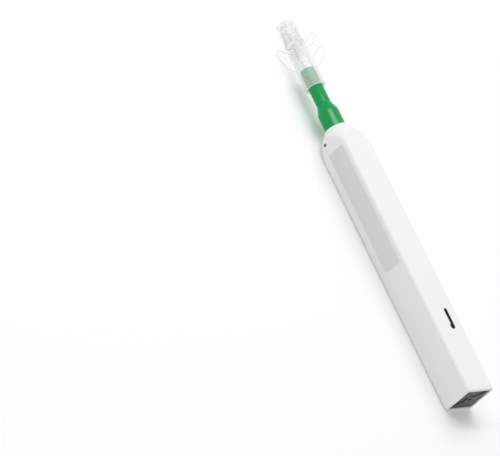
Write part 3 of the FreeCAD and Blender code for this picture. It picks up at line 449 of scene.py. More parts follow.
class Effects:
    """Node groups that several finishes share."""

    def __init__(self) -> None:
        """Build each group once."""
        self.mould = self._mould()
        self.wear = self._wear()
        self.dust = self._dust()
        self.drawn = self._drawn()

    @staticmethod
    def _start(
        name: str, inputs: Sequence[tuple[str, str, Any]], outputs: Sequence[tuple[str, str]]
    ) -> tuple[Bench, bpy.types.Node, bpy.types.Node]:
        """Open a new group with named sockets.

        Args:
            name: Name of the group.
            inputs: Name, kind and default of each input.
            outputs: Name and kind of each output.

        Returns:
            A bench on the group, its input node and its output node.
        """
        group = bpy.data.node_groups.new(name, "ShaderNodeTree")
        for label, kind, default in inputs:
            socket = group.interface.new_socket(
                name=label, in_out="INPUT", socket_type=f"NodeSocket{kind}"
            )
            socket.default_value = (*default, 1.0) if kind == "Color" else default
        for label, kind in outputs:
            group.interface.new_socket(
                name=label, in_out="OUTPUT", socket_type=f"NodeSocket{kind}"
            )
        source = group.nodes.new("NodeGroupInput")
        sink = group.nodes.new("NodeGroupOutput")
        return Bench(group), source, sink

    def _mould(self) -> bpy.types.NodeTree:
        """Moulded surface: flow-mark tint, uneven gloss and fine mould grain.

        Returns:
            The group.
        """
        bench, given, made = self._start(
            "moulded_surface",
            [
                ("Colour", "Color", (0.8, 0.8, 0.8)),
                ("Tint", "Color", (0.7, 0.7, 0.7)),
                ("Tint Share", "Float", 0.5),
                ("Gloss", "Float", 0.4),
                ("Gloss Spread", "Float", 0.1),
                ("Grain Scale", "Float", 3000.0),
            ],
            [("Colour", "Color"), ("Roughness", "Float"), ("Height", "Float")],
        )
        place = bench.add("TexCoord").outputs["Object"]
        stretched = bench.add("Mapping", {"Vector": place, "Scale": (14.0, 55.0, 55.0)})
        flow = bench.add(
            "TexNoise", {"Vector": stretched.outputs[0], "Scale": 1.0, "Detail": 4.0}
        ).outputs["Fac"]
        cloud = bench.add("TexNoise", {"Vector": place, "Scale": 260.0, "Detail": 3.0})
        fine = bench.add(
            "TexNoise",
            {"Vector": place, "Scale": given.outputs["Grain Scale"], "Detail": 2.0},
        ).outputs["Fac"]
        mottle = bench.math("MULTIPLY_ADD", cloud.outputs["Fac"], 0.4, flow)
        share = bench.math(
            "MULTIPLY",
            bench.spread(mottle, low=0.45, high=0.95),
            given.outputs["Tint Share"],
        )
        bench.feed(
            made.inputs["Colour"],
            bench.blend(share, given.outputs["Colour"], given.outputs["Tint"]),
        )
        uneven = bench.math("SUBTRACT", bench.math("ADD", flow, fine), 1.0)
        bench.feed(
            made.inputs["Roughness"],
            bench.math(
                "MULTIPLY_ADD",
                uneven,
                given.outputs["Gloss Spread"],
                given.outputs["Gloss"],
            ),
        )
        height = bench.math("MULTIPLY_ADD", fine, 1.0, cloud.outputs["Fac"])
        bench.feed(made.inputs["Height"], height)
        return bench.tree

    def _wear(self) -> bpy.types.NodeTree:
        """Worn edges: a mask that follows the rounded edges, broken by noise.

        Returns:
            The group.
        """
        bench, given, made = self._start(
            "edge_wear",
            [("Width", "Float", 0.0004), ("Amount", "Float", 0.5)],
            [("Mask", "Float")],
        )
        softened = bench.add("Bevel", {"Radius": given.outputs["Width"]}, samples=4)
        normal = bench.add("NewGeometry").outputs["Normal"]
        match = bench.add(
            "VectorMath", {0: softened.outputs[0], 1: normal}, operation="DOT_PRODUCT"
        ).outputs["Value"]
        edge = bench.spread(bench.math("SUBTRACT", 1.0, match), low=0.01, high=0.16)
        place = bench.add("TexCoord").outputs["Object"]
        patches = bench.add("TexNoise", {"Vector": place, "Scale": 420.0, "Detail": 5.0})
        broken = bench.spread(patches.outputs["Fac"], low=0.36, high=0.62)
        rubbed = bench.math("MULTIPLY", edge, broken)
        mask = bench.math("MULTIPLY", rubbed, given.outputs["Amount"])
        bench.feed(made.inputs["Mask"], mask)
        return bench.tree

    def _dust(self) -> bpy.types.NodeTree:
        """Fine dust: sparse flecks, denser on faces that look up.

        Returns:
            The group.
        """
        bench, given, made = self._start(
            "fine_dust",
            [("Fleck Scale", "Float", 1500.0), ("Amount", "Float", 0.2)],
            [("Mask", "Float")],
        )
        place = bench.add("TexCoord").outputs["Object"]
        cells = bench.add(
            "TexVoronoi", {"Vector": place, "Scale": given.outputs["Fleck Scale"]}
        ).outputs["Distance"]
        drift = bench.add("TexNoise", {"Vector": place, "Scale": 90.0}).outputs["Fac"]
        fleck = bench.math(
            "MULTIPLY",
            bench.spread(cells, low=0.22, high=0.06),
            bench.spread(drift, low=0.5, high=0.7),
        )
        facing = bench.add("SeparateXYZ", {0: bench.add("NewGeometry").outputs["Normal"]})
        upward = bench.spread(facing.outputs["Z"], low=-0.4, high=0.9)
        settled = bench.math("MULTIPLY", fleck, upward)
        mask = bench.math("MULTIPLY", settled, given.outputs["Amount"])
        bench.feed(made.inputs["Mask"], mask)
        return bench.tree

    def _drawn(self) -> bpy.types.NodeTree:
        """Fine lines drawn along one direction, for wire, pins and thread.

        Returns:
            The group.
        """
        bench, given, made = self._start(
            "drawn_lines",
            [("Stretch", "Vector", (1.0, 1.0, 1.0)), ("Line Scale", "Float", 4000.0)],
            [("Lines", "Float")],
        )
        place = bench.add("TexCoord").outputs["Object"]
        pulled = bench.add(
            "VectorMath", {0: place, 1: given.outputs["Stretch"]}, operation="MULTIPLY"
        ).outputs[0]
        scale = given.outputs["Line Scale"]
        lines = bench.add("TexNoise", {"Vector": pulled, "Scale": scale, "Detail": 3.0})
        bench.feed(made.inputs["Lines"], lines.outputs["Fac"])
        return bench.tree


# --------------------------------------------------------------------------
# Finishes
# --------------------------------------------------------------------------


def start_material(name: str) -> tuple[bpy.types.Material, Bench, bpy.types.Node]:
    """Empty material with a Principled BSDF on its output.

    Args:
        name: Name of the material.

    Returns:
        The material, a bench on its tree and the shader node.
    """
    material = bpy.data.materials.new(name)
    material.use_nodes = True
    bench = Bench(material.node_tree)
    return material, bench, material.node_tree.nodes["Principled BSDF"]


def dimmed(colour: Colour, share: float) -> Colour:
    """Darker colour, with each channel brought down to a share of itself."""
    return tuple(share * channel for channel in colour)


def place_mould(
    bench: Bench, effects: Effects, finish: "Finish", tint: Colour
) -> bpy.types.Node:
    """Place the shared moulded surface with the values of one finish.

    Args:
        bench: Bench on the material.
        effects: Shared node groups.
        finish: Finish that has the colour, gloss and grain.
        tint: Second colour of the flow marks.

    Returns:
        The group node.
    """
    inputs = {
        "Colour": finish.colour,
        "Tint": tint,
        "Tint Share": finish.tint_share,
        "Gloss": finish.gloss,
        "Gloss Spread": finish.gloss_spread,
        "Grain Scale": finish.grain_scale,
    }
    return bench.group(effects.mould, inputs)


@dataclass(frozen=True)
class MouldedPlastic:
    """Injection-moulded plastic with mould grain, worn edges and a little dust."""

    name: str
    colour: Colour
    tint: Colour
    gloss: float
    tint_share: float = 0.5
    gloss_spread: float = 0.12
    grain_scale: float = 3000.0
    grain_depth: float = 0.000006
    wear_colour: Colour = (0.9, 0.9, 0.9)
    wear: float = 0.4
    dust_colour: Colour = (0.5, 0.49, 0.47)
    dust: float = 0.15
    shine: float = 0.4
    rubbed_matt: float = 0.12

    def build(self, effects: Effects) -> bpy.types.Material:
        """Build the material.

        Args:
            effects: Shared node groups.

        Returns:
            The finished material.
        """
        material, bench, shader = start_material(self.name)
        mould = place_mould(bench, effects, self, self.tint)
        wear = bench.group(effects.wear, {"Amount": self.wear}).outputs["Mask"]
        dust = bench.group(effects.dust, {"Amount": self.dust}).outputs["Mask"]
        worn = bench.blend(wear, mould.outputs["Colour"], self.wear_colour)
        bench.feed(shader.inputs["Base Color"], bench.blend(dust, worn, self.dust_colour))
        rubbed = bench.math(
            "MULTIPLY_ADD", wear, self.rubbed_matt, mould.outputs["Roughness"]
        )
        bench.feed(shader.inputs["Roughness"], rubbed)
        bench.bump(shader, mould.outputs["Height"], self.grain_depth)
        shader.inputs["Specular IOR Level"].default_value = self.shine
        return material


@dataclass(frozen=True)
class ClearPlastic:
    """Thin clear moulding: a pale veil that is denser edge-on, with painted shade that greys
    its colour edge-on.
    """

    name: str
    colour: Colour
    # Darker grey painted where the surface is seen edge-on: painted shade.
    painted_edge_shade: Colour
    veil: float
    edge_veil: float
    gloss: float = 0.3
    gloss_spread: float = 0.05
    grain_scale: float = 900.0
    grain_depth: float = 0.0000006
    tint_shade: float = 0.95
    tint_share: float = 0.6
    dust_colour: Colour = (0.8, 0.8, 0.8)
    dust: float = 0.12
    dust_matt: float = 0.3
    edge_falloff: float = 2.0
    held_light: float = 0.15
    shine: float = 1.0
    ior: float = 1.55

    def build(self, effects: Effects) -> bpy.types.Material:
        """Build the material.

        Args:
            effects: Shared node groups.

        Returns:
            The finished material.
        """
        material, bench, shader = start_material(self.name)
        turned_away = bench.add("LayerWeight", {"Blend": 0.5}).outputs["Facing"]
        side_on = bench.math("POWER", turned_away, self.edge_falloff)
        mould = place_mould(bench, effects, self, dimmed(self.colour, self.tint_shade))
        dust = bench.group(effects.dust, {"Amount": self.dust}).outputs["Mask"]
        # Painted shade: the colour turns to a darker grey where the surface is seen edge-on.
        shaded = bench.blend(side_on, mould.outputs["Colour"], self.painted_edge_shade)
        bench.feed(shader.inputs["Base Color"], bench.blend(dust, shaded, self.dust_colour))
        hazy = bench.math("MULTIPLY_ADD", dust, self.dust_matt, mould.outputs["Roughness"])
        bench.feed(shader.inputs["Roughness"], hazy)
        veil = bench.math("MULTIPLY_ADD", side_on, self.edge_veil, self.veil)
        path = bench.add("LightPath")
        lighting = bench.math(
            "MAXIMUM", path.outputs["Is Shadow Ray"], path.outputs["Is Diffuse Ray"]
        )
        let_through = bench.math("MULTIPLY_ADD", lighting, self.held_light - 1.0, 1.0)
        veil = bench.math("MULTIPLY", bench.math("MINIMUM", veil, 1.0), let_through)
        bench.feed(shader.inputs["Alpha"], veil)
        bench.bump(shader, mould.outputs["Height"], self.grain_depth)
        shader.inputs["Specular IOR Level"].default_value = self.shine
        shader.inputs["IOR"].default_value = self.ior
        return material


@dataclass(frozen=True)
class DrawnSteel:
    """Bright steel wire or pin with fine drawn lines."""

    name: str
    colour: Colour
    stretch: tuple[float, float, float]
    gloss: float = 0.28
    gloss_spread: float = 0.2
    groove_shade: float = 0.72
    groove_depth: float = 0.000004
    wear: float = 0.5
    wear_colour: Colour = (0.9, 0.9, 0.9)

    def build(self, effects: Effects) -> bpy.types.Material:
        """Build the material.

        Args:
            effects: Shared node groups.

        Returns:
            The finished material.
        """
        material, bench, shader = start_material(self.name)
        drawn = bench.group(effects.drawn, {"Stretch": self.stretch}).outputs["Lines"]
        wear = bench.group(effects.wear, {"Amount": self.wear}).outputs["Mask"]
        dark = dimmed(self.colour, self.groove_shade)
        lined = bench.blend(bench.spread(drawn, low=0.3, high=0.75), dark, self.colour)
        bench.feed(shader.inputs["Base Color"], bench.blend(wear, lined, self.wear_colour))
        smoothest = self.gloss - self.gloss_spread / 2
        uneven = bench.math("MULTIPLY_ADD", drawn, self.gloss_spread, smoothest)
        bench.feed(shader.inputs["Roughness"], uneven)
        bench.bump(shader, drawn, self.groove_depth)
        shader.inputs["Metallic"].default_value = 1.0
        return material


@dataclass(frozen=True)
class LabelFilm:
    """Bare label film: matt, with fine fibres and pale cut edges."""

    name: str
    colour: Colour
    fibre_colour: Colour
    fibre_share: float = 0.35
    fibre_stretch: tuple[float, float, float] = (0.25, 1.0, 1.0)
    fibre_scale: float = 5200.0
    gloss: float = 0.55
    gloss_spread: float = 0.1
    grain_scale: float = 2400.0
    grain_depth: float = 0.000008
    tint_shade: float = 0.95
    tint_share: float = 0.8
    wear: float = 0.6
    wear_width: float = 0.0003

    def build(self, effects: Effects) -> bpy.types.Material:
        """Build the material.

        Args:
            effects: Shared node groups.

        Returns:
            The finished material.
        """
        material, bench, shader = start_material(self.name)
        fibres = bench.group(
            effects.drawn, {"Stretch": self.fibre_stretch, "Line Scale": self.fibre_scale}
        ).outputs["Lines"]
        mould = place_mould(bench, effects, self, dimmed(self.colour, self.tint_shade))
        wear = bench.group(
            effects.wear, {"Amount": self.wear, "Width": self.wear_width}
        ).outputs["Mask"]
        fleck = bench.spread(fibres, low=0.55, high=0.8)
        share = bench.math("MULTIPLY", fleck, self.fibre_share)
        flecked = bench.blend(share, mould.outputs["Colour"], self.fibre_colour)
        bench.feed(shader.inputs["Base Color"], bench.blend(wear, flecked, self.fibre_colour))
        bench.feed(shader.inputs["Roughness"], mould.outputs["Roughness"])
        height = bench.math("ADD", fibres, mould.outputs["Height"])
        bench.bump(shader, height, self.grain_depth)
        return material


@dataclass(frozen=True)
class CleaningFibre:
    """Spun cleaning thread: soft, with the twist of its strands."""

    name: str
    colour: Colour
    shade: Colour
    twist_scale: float = 1400.0
    strand_scale: float = 6000.0
    strand_share: float = 0.6
    strand_depth: float = 0.00004
    matt: float = 0.75
    matt_spread: float = 0.2
    sheen: float = 0.35
    sheen_matt: float = 0.5

    def build(self, effects: Effects) -> bpy.types.Material:
        """Build the material.

        Args:
            effects: Shared node groups.

        Returns:
            The finished material.
        """
        material, bench, shader = start_material(self.name)
        place = bench.add("TexCoord").outputs["Object"]
        twist = bench.add(
            "TexWave",
            {"Vector": place, "Scale": self.twist_scale, "Distortion": 2.5, "Detail": 2.0},
            bands_direction="DIAGONAL",
        ).outputs["Fac"]
        strands = bench.group(
            effects.drawn, {"Line Scale": self.strand_scale}
        ).outputs["Lines"]
        height = bench.math("MULTIPLY_ADD", strands, self.strand_share, twist)
        raised = bench.spread(height, low=0.2, high=1.2)
        bench.feed(shader.inputs["Base Color"], bench.blend(raised, self.shade, self.colour))
        uneven = bench.math("MULTIPLY_ADD", strands, self.matt_spread, self.matt)
        bench.feed(shader.inputs["Roughness"], uneven)
        bench.bump(shader, height, self.strand_depth)
        shader.inputs["Sheen Weight"].default_value = self.sheen
        shader.inputs["Sheen Roughness"].default_value = self.sheen_matt
        return material


Finish = MouldedPlastic | ClearPlastic | DrawnSteel | LabelFilm | CleaningFibre


class Finishes:
    """One finished material for each slot of the record, and two more clear ones: a painted
    rim highlight and a rod.
    """

    plans: dict[Slot, Finish] = {
        Slot.WHITE: MouldedPlastic(
            "white_moulding",
            colour=(0.87, 0.87, 0.88),
            tint=(0.82, 0.822, 0.835),
            gloss=0.55,
            dust=0.08,
            shine=0.25,
        ),
        Slot.DARK: MouldedPlastic(
            "dark_moulding",
            colour=(0.035, 0.034, 0.036),
            tint=(0.06, 0.058, 0.06),
            gloss=0.42,
            wear_colour=(0.22, 0.22, 0.22),
            dust=0.25,
        ),
        Slot.LABEL: LabelFilm(
            "label_film_bare", colour=(0.72, 0.72, 0.725), fibre_colour=(0.82, 0.82, 0.82)
        ),
        Slot.NATURAL: MouldedPlastic(
            "natural_moulding", colour=(0.74, 0.72, 0.66), tint=(0.68, 0.65, 0.58), gloss=0.42
        ),
        Slot.STEEL: DrawnSteel(
            "bright_steel", colour=(0.66, 0.66, 0.68), stretch=(1.0, 0.15, 1.0)
        ),
        Slot.GREEN: MouldedPlastic(
            "green_moulding",
            colour=(0.0, 0.33, 0.085),
            tint=(0.0, 0.27, 0.066),
            gloss=0.14,
            wear_colour=(0.03, 0.45, 0.16),
            dust=0.05,
            shine=0.25,
        ),
        Slot.RED: MouldedPlastic(
            "dark_red_moulding",
            colour=(0.3, 0.008, 0.016),
            tint=(0.2, 0.006, 0.01),
            gloss=0.4,
            wear_colour=(0.35, 0.08, 0.07),
            dust=0.2,
        ),
        Slot.FIBRE: CleaningFibre(
            "spun_thread", colour=(0.9, 0.9, 0.88), shade=(0.66, 0.66, 0.64)
        ),
        Slot.CLEAR: ClearPlastic(
            "clear_moulding",
            colour=(0.83, 0.83, 0.84),
            painted_edge_shade=(0.68, 0.68, 0.69),
            veil=0.23,
            edge_veil=0.3,
        ),
    }
    # Whiter, nearly opaque copy of the clear finish: a painted highlight on the caps' open
    # wall ends.
    rim_highlight_plan: Finish = ClearPlastic(
        "clear_moulding_rim_highlight",
        colour=(0.95, 0.95, 0.95),
        painted_edge_shade=(0.9, 0.9, 0.9),
        veil=0.85,
        edge_veil=0.1,
    )
    rod_plan: Finish = ClearPlastic(
        "clear_moulding_rod",
        colour=(0.82, 0.82, 0.83),
        painted_edge_shade=(0.72, 0.72, 0.73),
        veil=0.45,
        edge_veil=0.2,
    )
    # Where the painted rim highlight goes: reach along the pen and lean of the face's normal.
    rim_highlight_reach: float = 0.35
    rim_highlight_lean: float = 0.3

    def __init__(self) -> None:
        """Build every material."""
        effects = Effects()
        self.materials = {slot: plan.build(effects) for slot, plan in self.plans.items()}
        # The painted rim highlight.
        self.rim = self.rim_highlight_plan.build(effects)
        self.rod = self.rod_plan.build(effects)

    def dress(self, piece: bpy.types.Object, slot: Slot) -> None:
        """Give a piece the finish of a slot, in place of any other.

        Args:
            piece: Piece or frame node to dress.
            slot: Slot whose finish it takes.
        """
        if not piece.material_slots:
            piece.data.materials.append(self.materials[slot])
        for holder in piece.material_slots:
            holder.material = self.materials[slot]

    def dress_rod(self, piece: bpy.types.Object) -> None:
        """Give a thin clear rod its own denser finish."""
        piece.material_slots[0].material = self.rod

    def paint_rim_highlights(self, piece: bpy.types.Object, stations: Sequence[float]) -> None:
        """Paint a highlight on the wall ends of a clear piece: a whiter, denser copy of its
        clear finish.

        A face belongs to a rim when it lies within the rim's reach and its normal
        leans enough along the pen.

        Args:
            piece: Turned clear piece that already has its finish.
            stations: Places along X, in metres, of the wall ends.
        """
        piece.data.materials.append(self.rim)
        for face in piece.data.polygons:
            near = min(abs(face.center.x - station) for station in stations)
            if near < self.rim_highlight_reach * MM and abs(face.normal.x) > self.rim_highlight_lean:
                face.material_index = 1


# --------------------------------------------------------------------------
# Sub-assemblies
# --------------------------------------------------------------------------


@dataclass
class SubAssembly:
    """Pieces of one part of the pen, with what they share."""

    axis: PenAxis
    finishes: Finishes
    made: list[bpy.types.Object] = field(default_factory=list, init=False)

    def keep(
        self, piece: bpy.types.Object, slot: Slot, body: str, *nodes: str
    ) -> bpy.types.Object:
        """Dress a piece, ride it on its body and let it stand for its nodes.

        Args:
            piece: Finished mesh piece.
            slot: Material slot of the record.
            body: Frame body that carries it.
            *nodes: Frame nodes that it replaces.

        Returns:
            The same piece.
        """
        self.finishes.dress(piece, slot)
        if nodes:
            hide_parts(*nodes)
        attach(piece, body)
        self.made.append(piece)
        return piece

    def report(self) -> None:
        """Take no step; nothing is logged."""


@dataclass(frozen=True)
class Section:
    """Section across the sleeve: a rounded square, held inside a circle."""

    station: float
    half: float
    corner: float
    limit: float = 99.0
    ease: float = 0.7

    def reach(self, angle: float) -> float:
        """Distance from the axis to the section's edge.

        Args:
            angle: Direction round the axis, in radians.

        Returns:
            The distance in millimetres.
        """
        wide, narrow = sorted((abs(math.cos(angle)), abs(math.sin(angle))), reverse=True)
        inner = self.half - self.corner
        square = self.half / wide
        if square * narrow > inner:
            along = inner * (wide + narrow)
            square = along + math.sqrt(
                max(along**2 - 2 * inner**2 + self.corner**2, 0.0)
            )
        # The smaller of the two reaches, eased where they meet.
        near = max(self.ease - abs(square - self.limit), 0.0) / self.ease
        return min(square, self.limit) - near**2 * self.ease / 4


@dataclass
class Sleeve(SubAssembly):
    """White square sleeve with its turned shoulder, slot and lanyard hole."""

    half: float = 9.0
    corner: float = 1.3
    wall: float = 1.2
    length: float = 151.0
    flat_turn: float = 4.0
    flat_points: int = 9
    corner_turn: float = 1.0
    corner_points: int = 14
    corner_from: float = 38.5
    corner_to: float = 54.0
    long_stations: tuple[float, ...] = (2.0, 20.0, 60.0, 100.0)
    run_out: float = 2.0
    rear_round: float = 0.8
    rear_steps: int = 4
    rear_corner_share: float = 0.6
    rear_chamfer: float = 0.2
    shoulder: float = 12.4
    shoulder_curve: float = 25.0
    shoulder_proud: float = 0.05
    shoulder_end: float = 0.35
    shoulder_steps: int = 30
    rim: float = 6.23
    rim_rise: float = 0.45
    rim_run: float = 1.0
    rim_round: float = 0.38
    bore: float = 5.38
    bore_round: float = 0.25
    bore_length: float = 11.0
    slot_rear: float = 33.4
    slot_front: float = 44.7
    slot_side: float = 2.4
    slot_width: float = 2.0
    slot_lobe: float = 2.9
    slot_steps: int = 16
    lobe_steps: int = 24
    slot_bevel: float = 0.12
    slot_depth: float = 2.0
    slot_over: float = 0.1
    slot_lip: float = 0.4
    slot_space: float = 1.6
    slot_far_space: float = 0.5
    pocket_under: float = 0.5
    # Skin under the top face that the pocket's painted shade and red bounce leave white.
    pocket_paint_skin: float = 0.2
    lanyard: float = 144.4
    lanyard_reach: float = 8.5
    lanyard_radius: float = 0.8
    lanyard_cut: float = 7.0
    lanyard_sides: int = 32

    def build(self) -> None:
        """Build the sleeve and cut its slot and lanyard hole."""
        work = bmesh.new()
        angles = self._angles()
        rings = [
            [
                work.verts.new(
                    self.axis.point(
                        section.station,
                        section.reach(angle) * math.cos(angle),
                        section.reach(angle) * math.sin(angle),
                    )
                )
                for angle in angles
            ]
            for section in self._sections()
        ]
        join_rings(work, rings)
        sleeve = to_object("sleeve", work)
        carve(sleeve, [self._pocket_cutter(), self._slot_cutter(), self._lanyard_cutter()])
        self.keep(sleeve, Slot.WHITE, "housing", "housing_shell")
        # Painted shade and red bounce light on the white walls of the pocket behind the slot.
        self._paint_pocket_shade_and_bounce(sleeve)

    def _angles(self) -> list[float]:
        """Directions round the axis, close together at the corners.

        Returns:
            The directions in radians, once round.
        """
        quarter = [self.flat_turn * step for step in range(1, self.flat_points + 1)]
        quarter += [
            self.corner_from + self.corner_turn * step for step in range(self.corner_points)
        ]
        quarter += [
            self.corner_to + self.flat_turn * step for step in range(self.flat_points + 1)
        ]
        return [
            math.radians(turn + angle) for turn in (0, 90, 180, 270) for angle in quarter
        ]

    def _sections(self) -> list[Section]:
        """Sections along the outside, round the front rim and back inside.

        Returns:
            The sections in the order in which they are skinned.
        """
        sections = []
        for step in range(self.rear_steps + 1):
            bend = math.radians(90.0 * step / self.rear_steps)
            station = self.rear_round * (1 - math.cos(bend))
            inset = self.rear_round * (1 - math.sin(bend))
            corner = self.corner - self.rear_corner_share * inset
            sections.append(Section(station, self.half - inset, corner))
        straight = self.length - self.shoulder
        for station in (*self.long_stations, straight - self.run_out):
            sections.append(Section(station, self.half, self.corner))
        for station, radius in self._ogive():
            sections.append(Section(station, self.half, self.corner, radius))
        rim_corners = [
            Corner(self.length - self.rim_run, self.rim + self.rim_rise),
            Corner(self.length, self.rim, self.rim_round),
            Corner(self.length, self.bore, self.bore_round),
            Corner(self.length - self.bore_length, self.bore),
        ]
        for station, radius in rounded_outline(rim_corners)[1:]:
            sections.append(Section(station, self.half, self.corner, radius))
        inside = self.half - self.wall
        inner_corner = self.corner / 2
        chamfer = self.rear_chamfer
        sections.append(Section(self.length - self.bore_length, inside, inner_corner))
        sections.append(Section(chamfer, inside, inner_corner))
        sections.append(Section(0.0, inside + chamfer, inner_corner))
        return sections

    def _ogive(self) -> list[Point2]:
        """Stations and radii down the shoulder's turned profile.

        Returns:
            The points from the square part to just short of the rim.
        """
        reach = self.half * DIAGONAL - (DIAGONAL - 1) * self.corner + self.shoulder_proud
        start = Vector((self.length - self.shoulder, reach))
        end = Vector((self.length - self.shoulder_end, self.rim))
        chord = end - start
        sagitta = math.sqrt(self.shoulder_curve**2 - (chord.length / 2) ** 2)
        across = Vector((-chord.y, chord.x)).normalized()
        centre = start + chord / 2 - across * sagitta
        points = []
        for step in range(self.shoulder_steps):
            station = start.x + chord.x * step / self.shoulder_steps
            drop = self.shoulder_curve**2 - (station - centre.x) ** 2
            points.append((station, centre.y + math.sqrt(drop)))
        return points

    def _slot_cutter(self) -> bpy.types.Object:
        """Keyhole cutter that flares at the surface, for the bevelled edge.

        Returns:
            The cutter.
        """
        narrow = self.slot_width / 2
        lobe = self.slot_lobe / 2
        lobe_at = self.slot_rear + lobe
        lobe_side = self.slot_side + narrow - lobe
        front_at = self.slot_front - narrow
        outline = []
        for step in range(self.slot_steps + 1):
            turn = math.pi * step / self.slot_steps
            across = self.slot_side + narrow * math.cos(turn)
            outline.append((front_at + narrow * math.sin(turn), across))
        side = self.slot_side - narrow - lobe_side
        first = math.asin(side / lobe)
        # The lobe runs from the slot's near side round to its far side.
        for step in range(self.lobe_steps + 1):
            turn = first - (first + 1.5 * math.pi) * step / self.lobe_steps
            across = lobe_side + lobe * math.sin(turn)
            outline.append((lobe_at + lobe * math.cos(turn), across))
        over = self.slot_over
        layers = [
            [self.axis.point(along, across, up) for along, across in swollen(outline, grow)]
            for up, grow in (
                (self.half - self.slot_depth, 0.0),
                (self.half - self.slot_bevel, 0.0),
                (self.half + over, self.slot_bevel + over),
            )
        ]
        return prism("slot_cutter", layers)

    def _pocket_cutter(self) -> bpy.types.Object:
        """Cutter for a shallow pocket inside the wall that thins the slot's lip.

        Returns:
            The cutter.
        """
        (rear, front), (near, far) = self._pocket_reach()
        corners = [(rear, near), (front, near), (front, far), (rear, far)]
        layers = [
            [self.axis.point(along, across, up) for along, across in corners]
            for up in (
                self.half - self.wall - self.pocket_under,
                self.half - self.slot_lip,
            )
        ]
        return prism("slot_pocket_cutter", layers)

    def _pocket_reach(self) -> tuple[Point2, Point2]:
        """Where the pocket lies.

        Returns:
            Its two stations and its two sides, in millimetres.
        """
        ends = (self.slot_rear - self.slot_space, self.slot_front + self.slot_space)
        near = self.slot_side - self.slot_width / 2 - self.slot_space
        far = self.slot_side + self.slot_width / 2 + self.slot_far_space
        return ends, (near, far)

    def _paint_pocket_shade_and_bounce(self, sleeve: bpy.types.Object) -> None:
        """Paint the pocket behind the slot in the wheel's dark red, as painted shade and red
        bounce light on its white walls.

        Args:
            sleeve: Carved sleeve.
        """
        # Painted shade and red bounce light: the pocket's white walls take the wheel's red
        # finish.
        sleeve.data.materials.append(self.finishes.materials[Slot.RED])
        ends, sides = self._pocket_reach()
        rear, front = (self.axis.point(station).x for station in ends)
        low, high = (
            self.axis.point(0.0, 0.0, self.half - depth).z
            for depth in (self.wall, self.pocket_paint_skin)
        )
        near = NEAR * MM
        for face in sleeve.data.polygons:
            middle = face.center
            along = front - near < middle.x < rear + near
            across = sides[0] - NEAR < middle.y / MM < sides[1] + NEAR
            if along and across and low + near < middle.z < high:
                face.material_index = 1

    def _lanyard_cutter(self) -> bpy.types.Object:
        """Round cutter through the shoulder's lower corner on the label side.

        Returns:
            The cutter.
        """
        layers = []
        for reach in (-self.lanyard_cut, self.lanyard_cut):
            layer = []
            for step in range(self.lanyard_sides):
                angle = math.tau * step / self.lanyard_sides
                station = self.lanyard + self.lanyard_radius * math.cos(angle)
                inward = self.lanyard_reach + self.lanyard_radius * math.sin(angle)
                across = (-inward - reach) / math.sqrt(2)
                up = (-inward + reach) / math.sqrt(2)
                layer.append(self.axis.point(station, across, up))
            layers.append(layer)
        return prism("lanyard_cutter", layers)


def swollen(outline: Sequence[Point2], grow: float) -> list[Point2]:
    """Outline moved outwards by a distance.

    Args:
        outline: Closed outline in either sense.
        grow: Distance to move each point.

    Returns:
        The moved points.
    """
    ahead = [*outline[1:], outline[0]]
    area = sum(a[0] * b[1] - b[0] * a[1] for a, b in zip(outline, ahead))
    sense = 1.0 if area > 0 else -1.0
    moved = []
    for index, point in enumerate(outline):
        last = Vector(outline[index - 1])
        following = Vector(outline[(index + 1) % len(outline)])
        along = (following - last).normalized()
        sideways = (along.y * sense * grow, -along.x * sense * grow)
        moved.append((point[0] + sideways[0], point[1] + sideways[1]))
    return moved


@dataclass
class Nozzle(SubAssembly):
    """Green nozzle: flange in the sleeve, wide part, cone and narrow tube."""

    wide: float = 5.3
    narrow: float = 3.65
    bore: float = 4.2
    bearing: float = 1.95
    relief: float = 2.7
    flange: float = 7.3
    flange_rear: float = 136.7
    flange_front: float = 139.9
    cone_start: float = 160.4
    cone_end: float = 165.1
    front: float = 185.1
    land: float = 6.0
    flange_round: float = 0.2
    cone_round: float = 1.6
    front_round: float = 0.3
    bearing_round: float = 0.15
    segments: int = 128

    def build(self) -> None:
        """Build the nozzle as one turned piece."""
        front_land = self.front - self.land
        middle_front = self.cone_start + self.land / 2
        middle_rear = self.cone_start - self.land / 2
        corners = [
            Corner(self.flange_rear, self.bore),
            Corner(self.flange_rear, self.flange, self.flange_round),
            Corner(self.flange_front, self.flange, self.flange_round),
            Corner(self.flange_front, self.wide),
            Corner(self.cone_start, self.wide, self.cone_round),
            Corner(self.cone_end, self.narrow, self.cone_round),
            Corner(self.front, self.narrow, self.front_round),
            Corner(self.front, self.bearing, self.bearing_round),
            Corner(front_land, self.bearing),
            Corner(front_land, self.relief),
            Corner(middle_front, self.relief),
            Corner(middle_front, self.bearing),
            Corner(middle_rear, self.bearing),
            Corner(middle_rear, self.bore),
        ]
        outline = rounded_outline(corners)
        nozzle = turned("nozzle", self.axis, outline, segments=self.segments)
        self.keep(nozzle, Slot.GREEN, "carriage", "nozzle_shell")


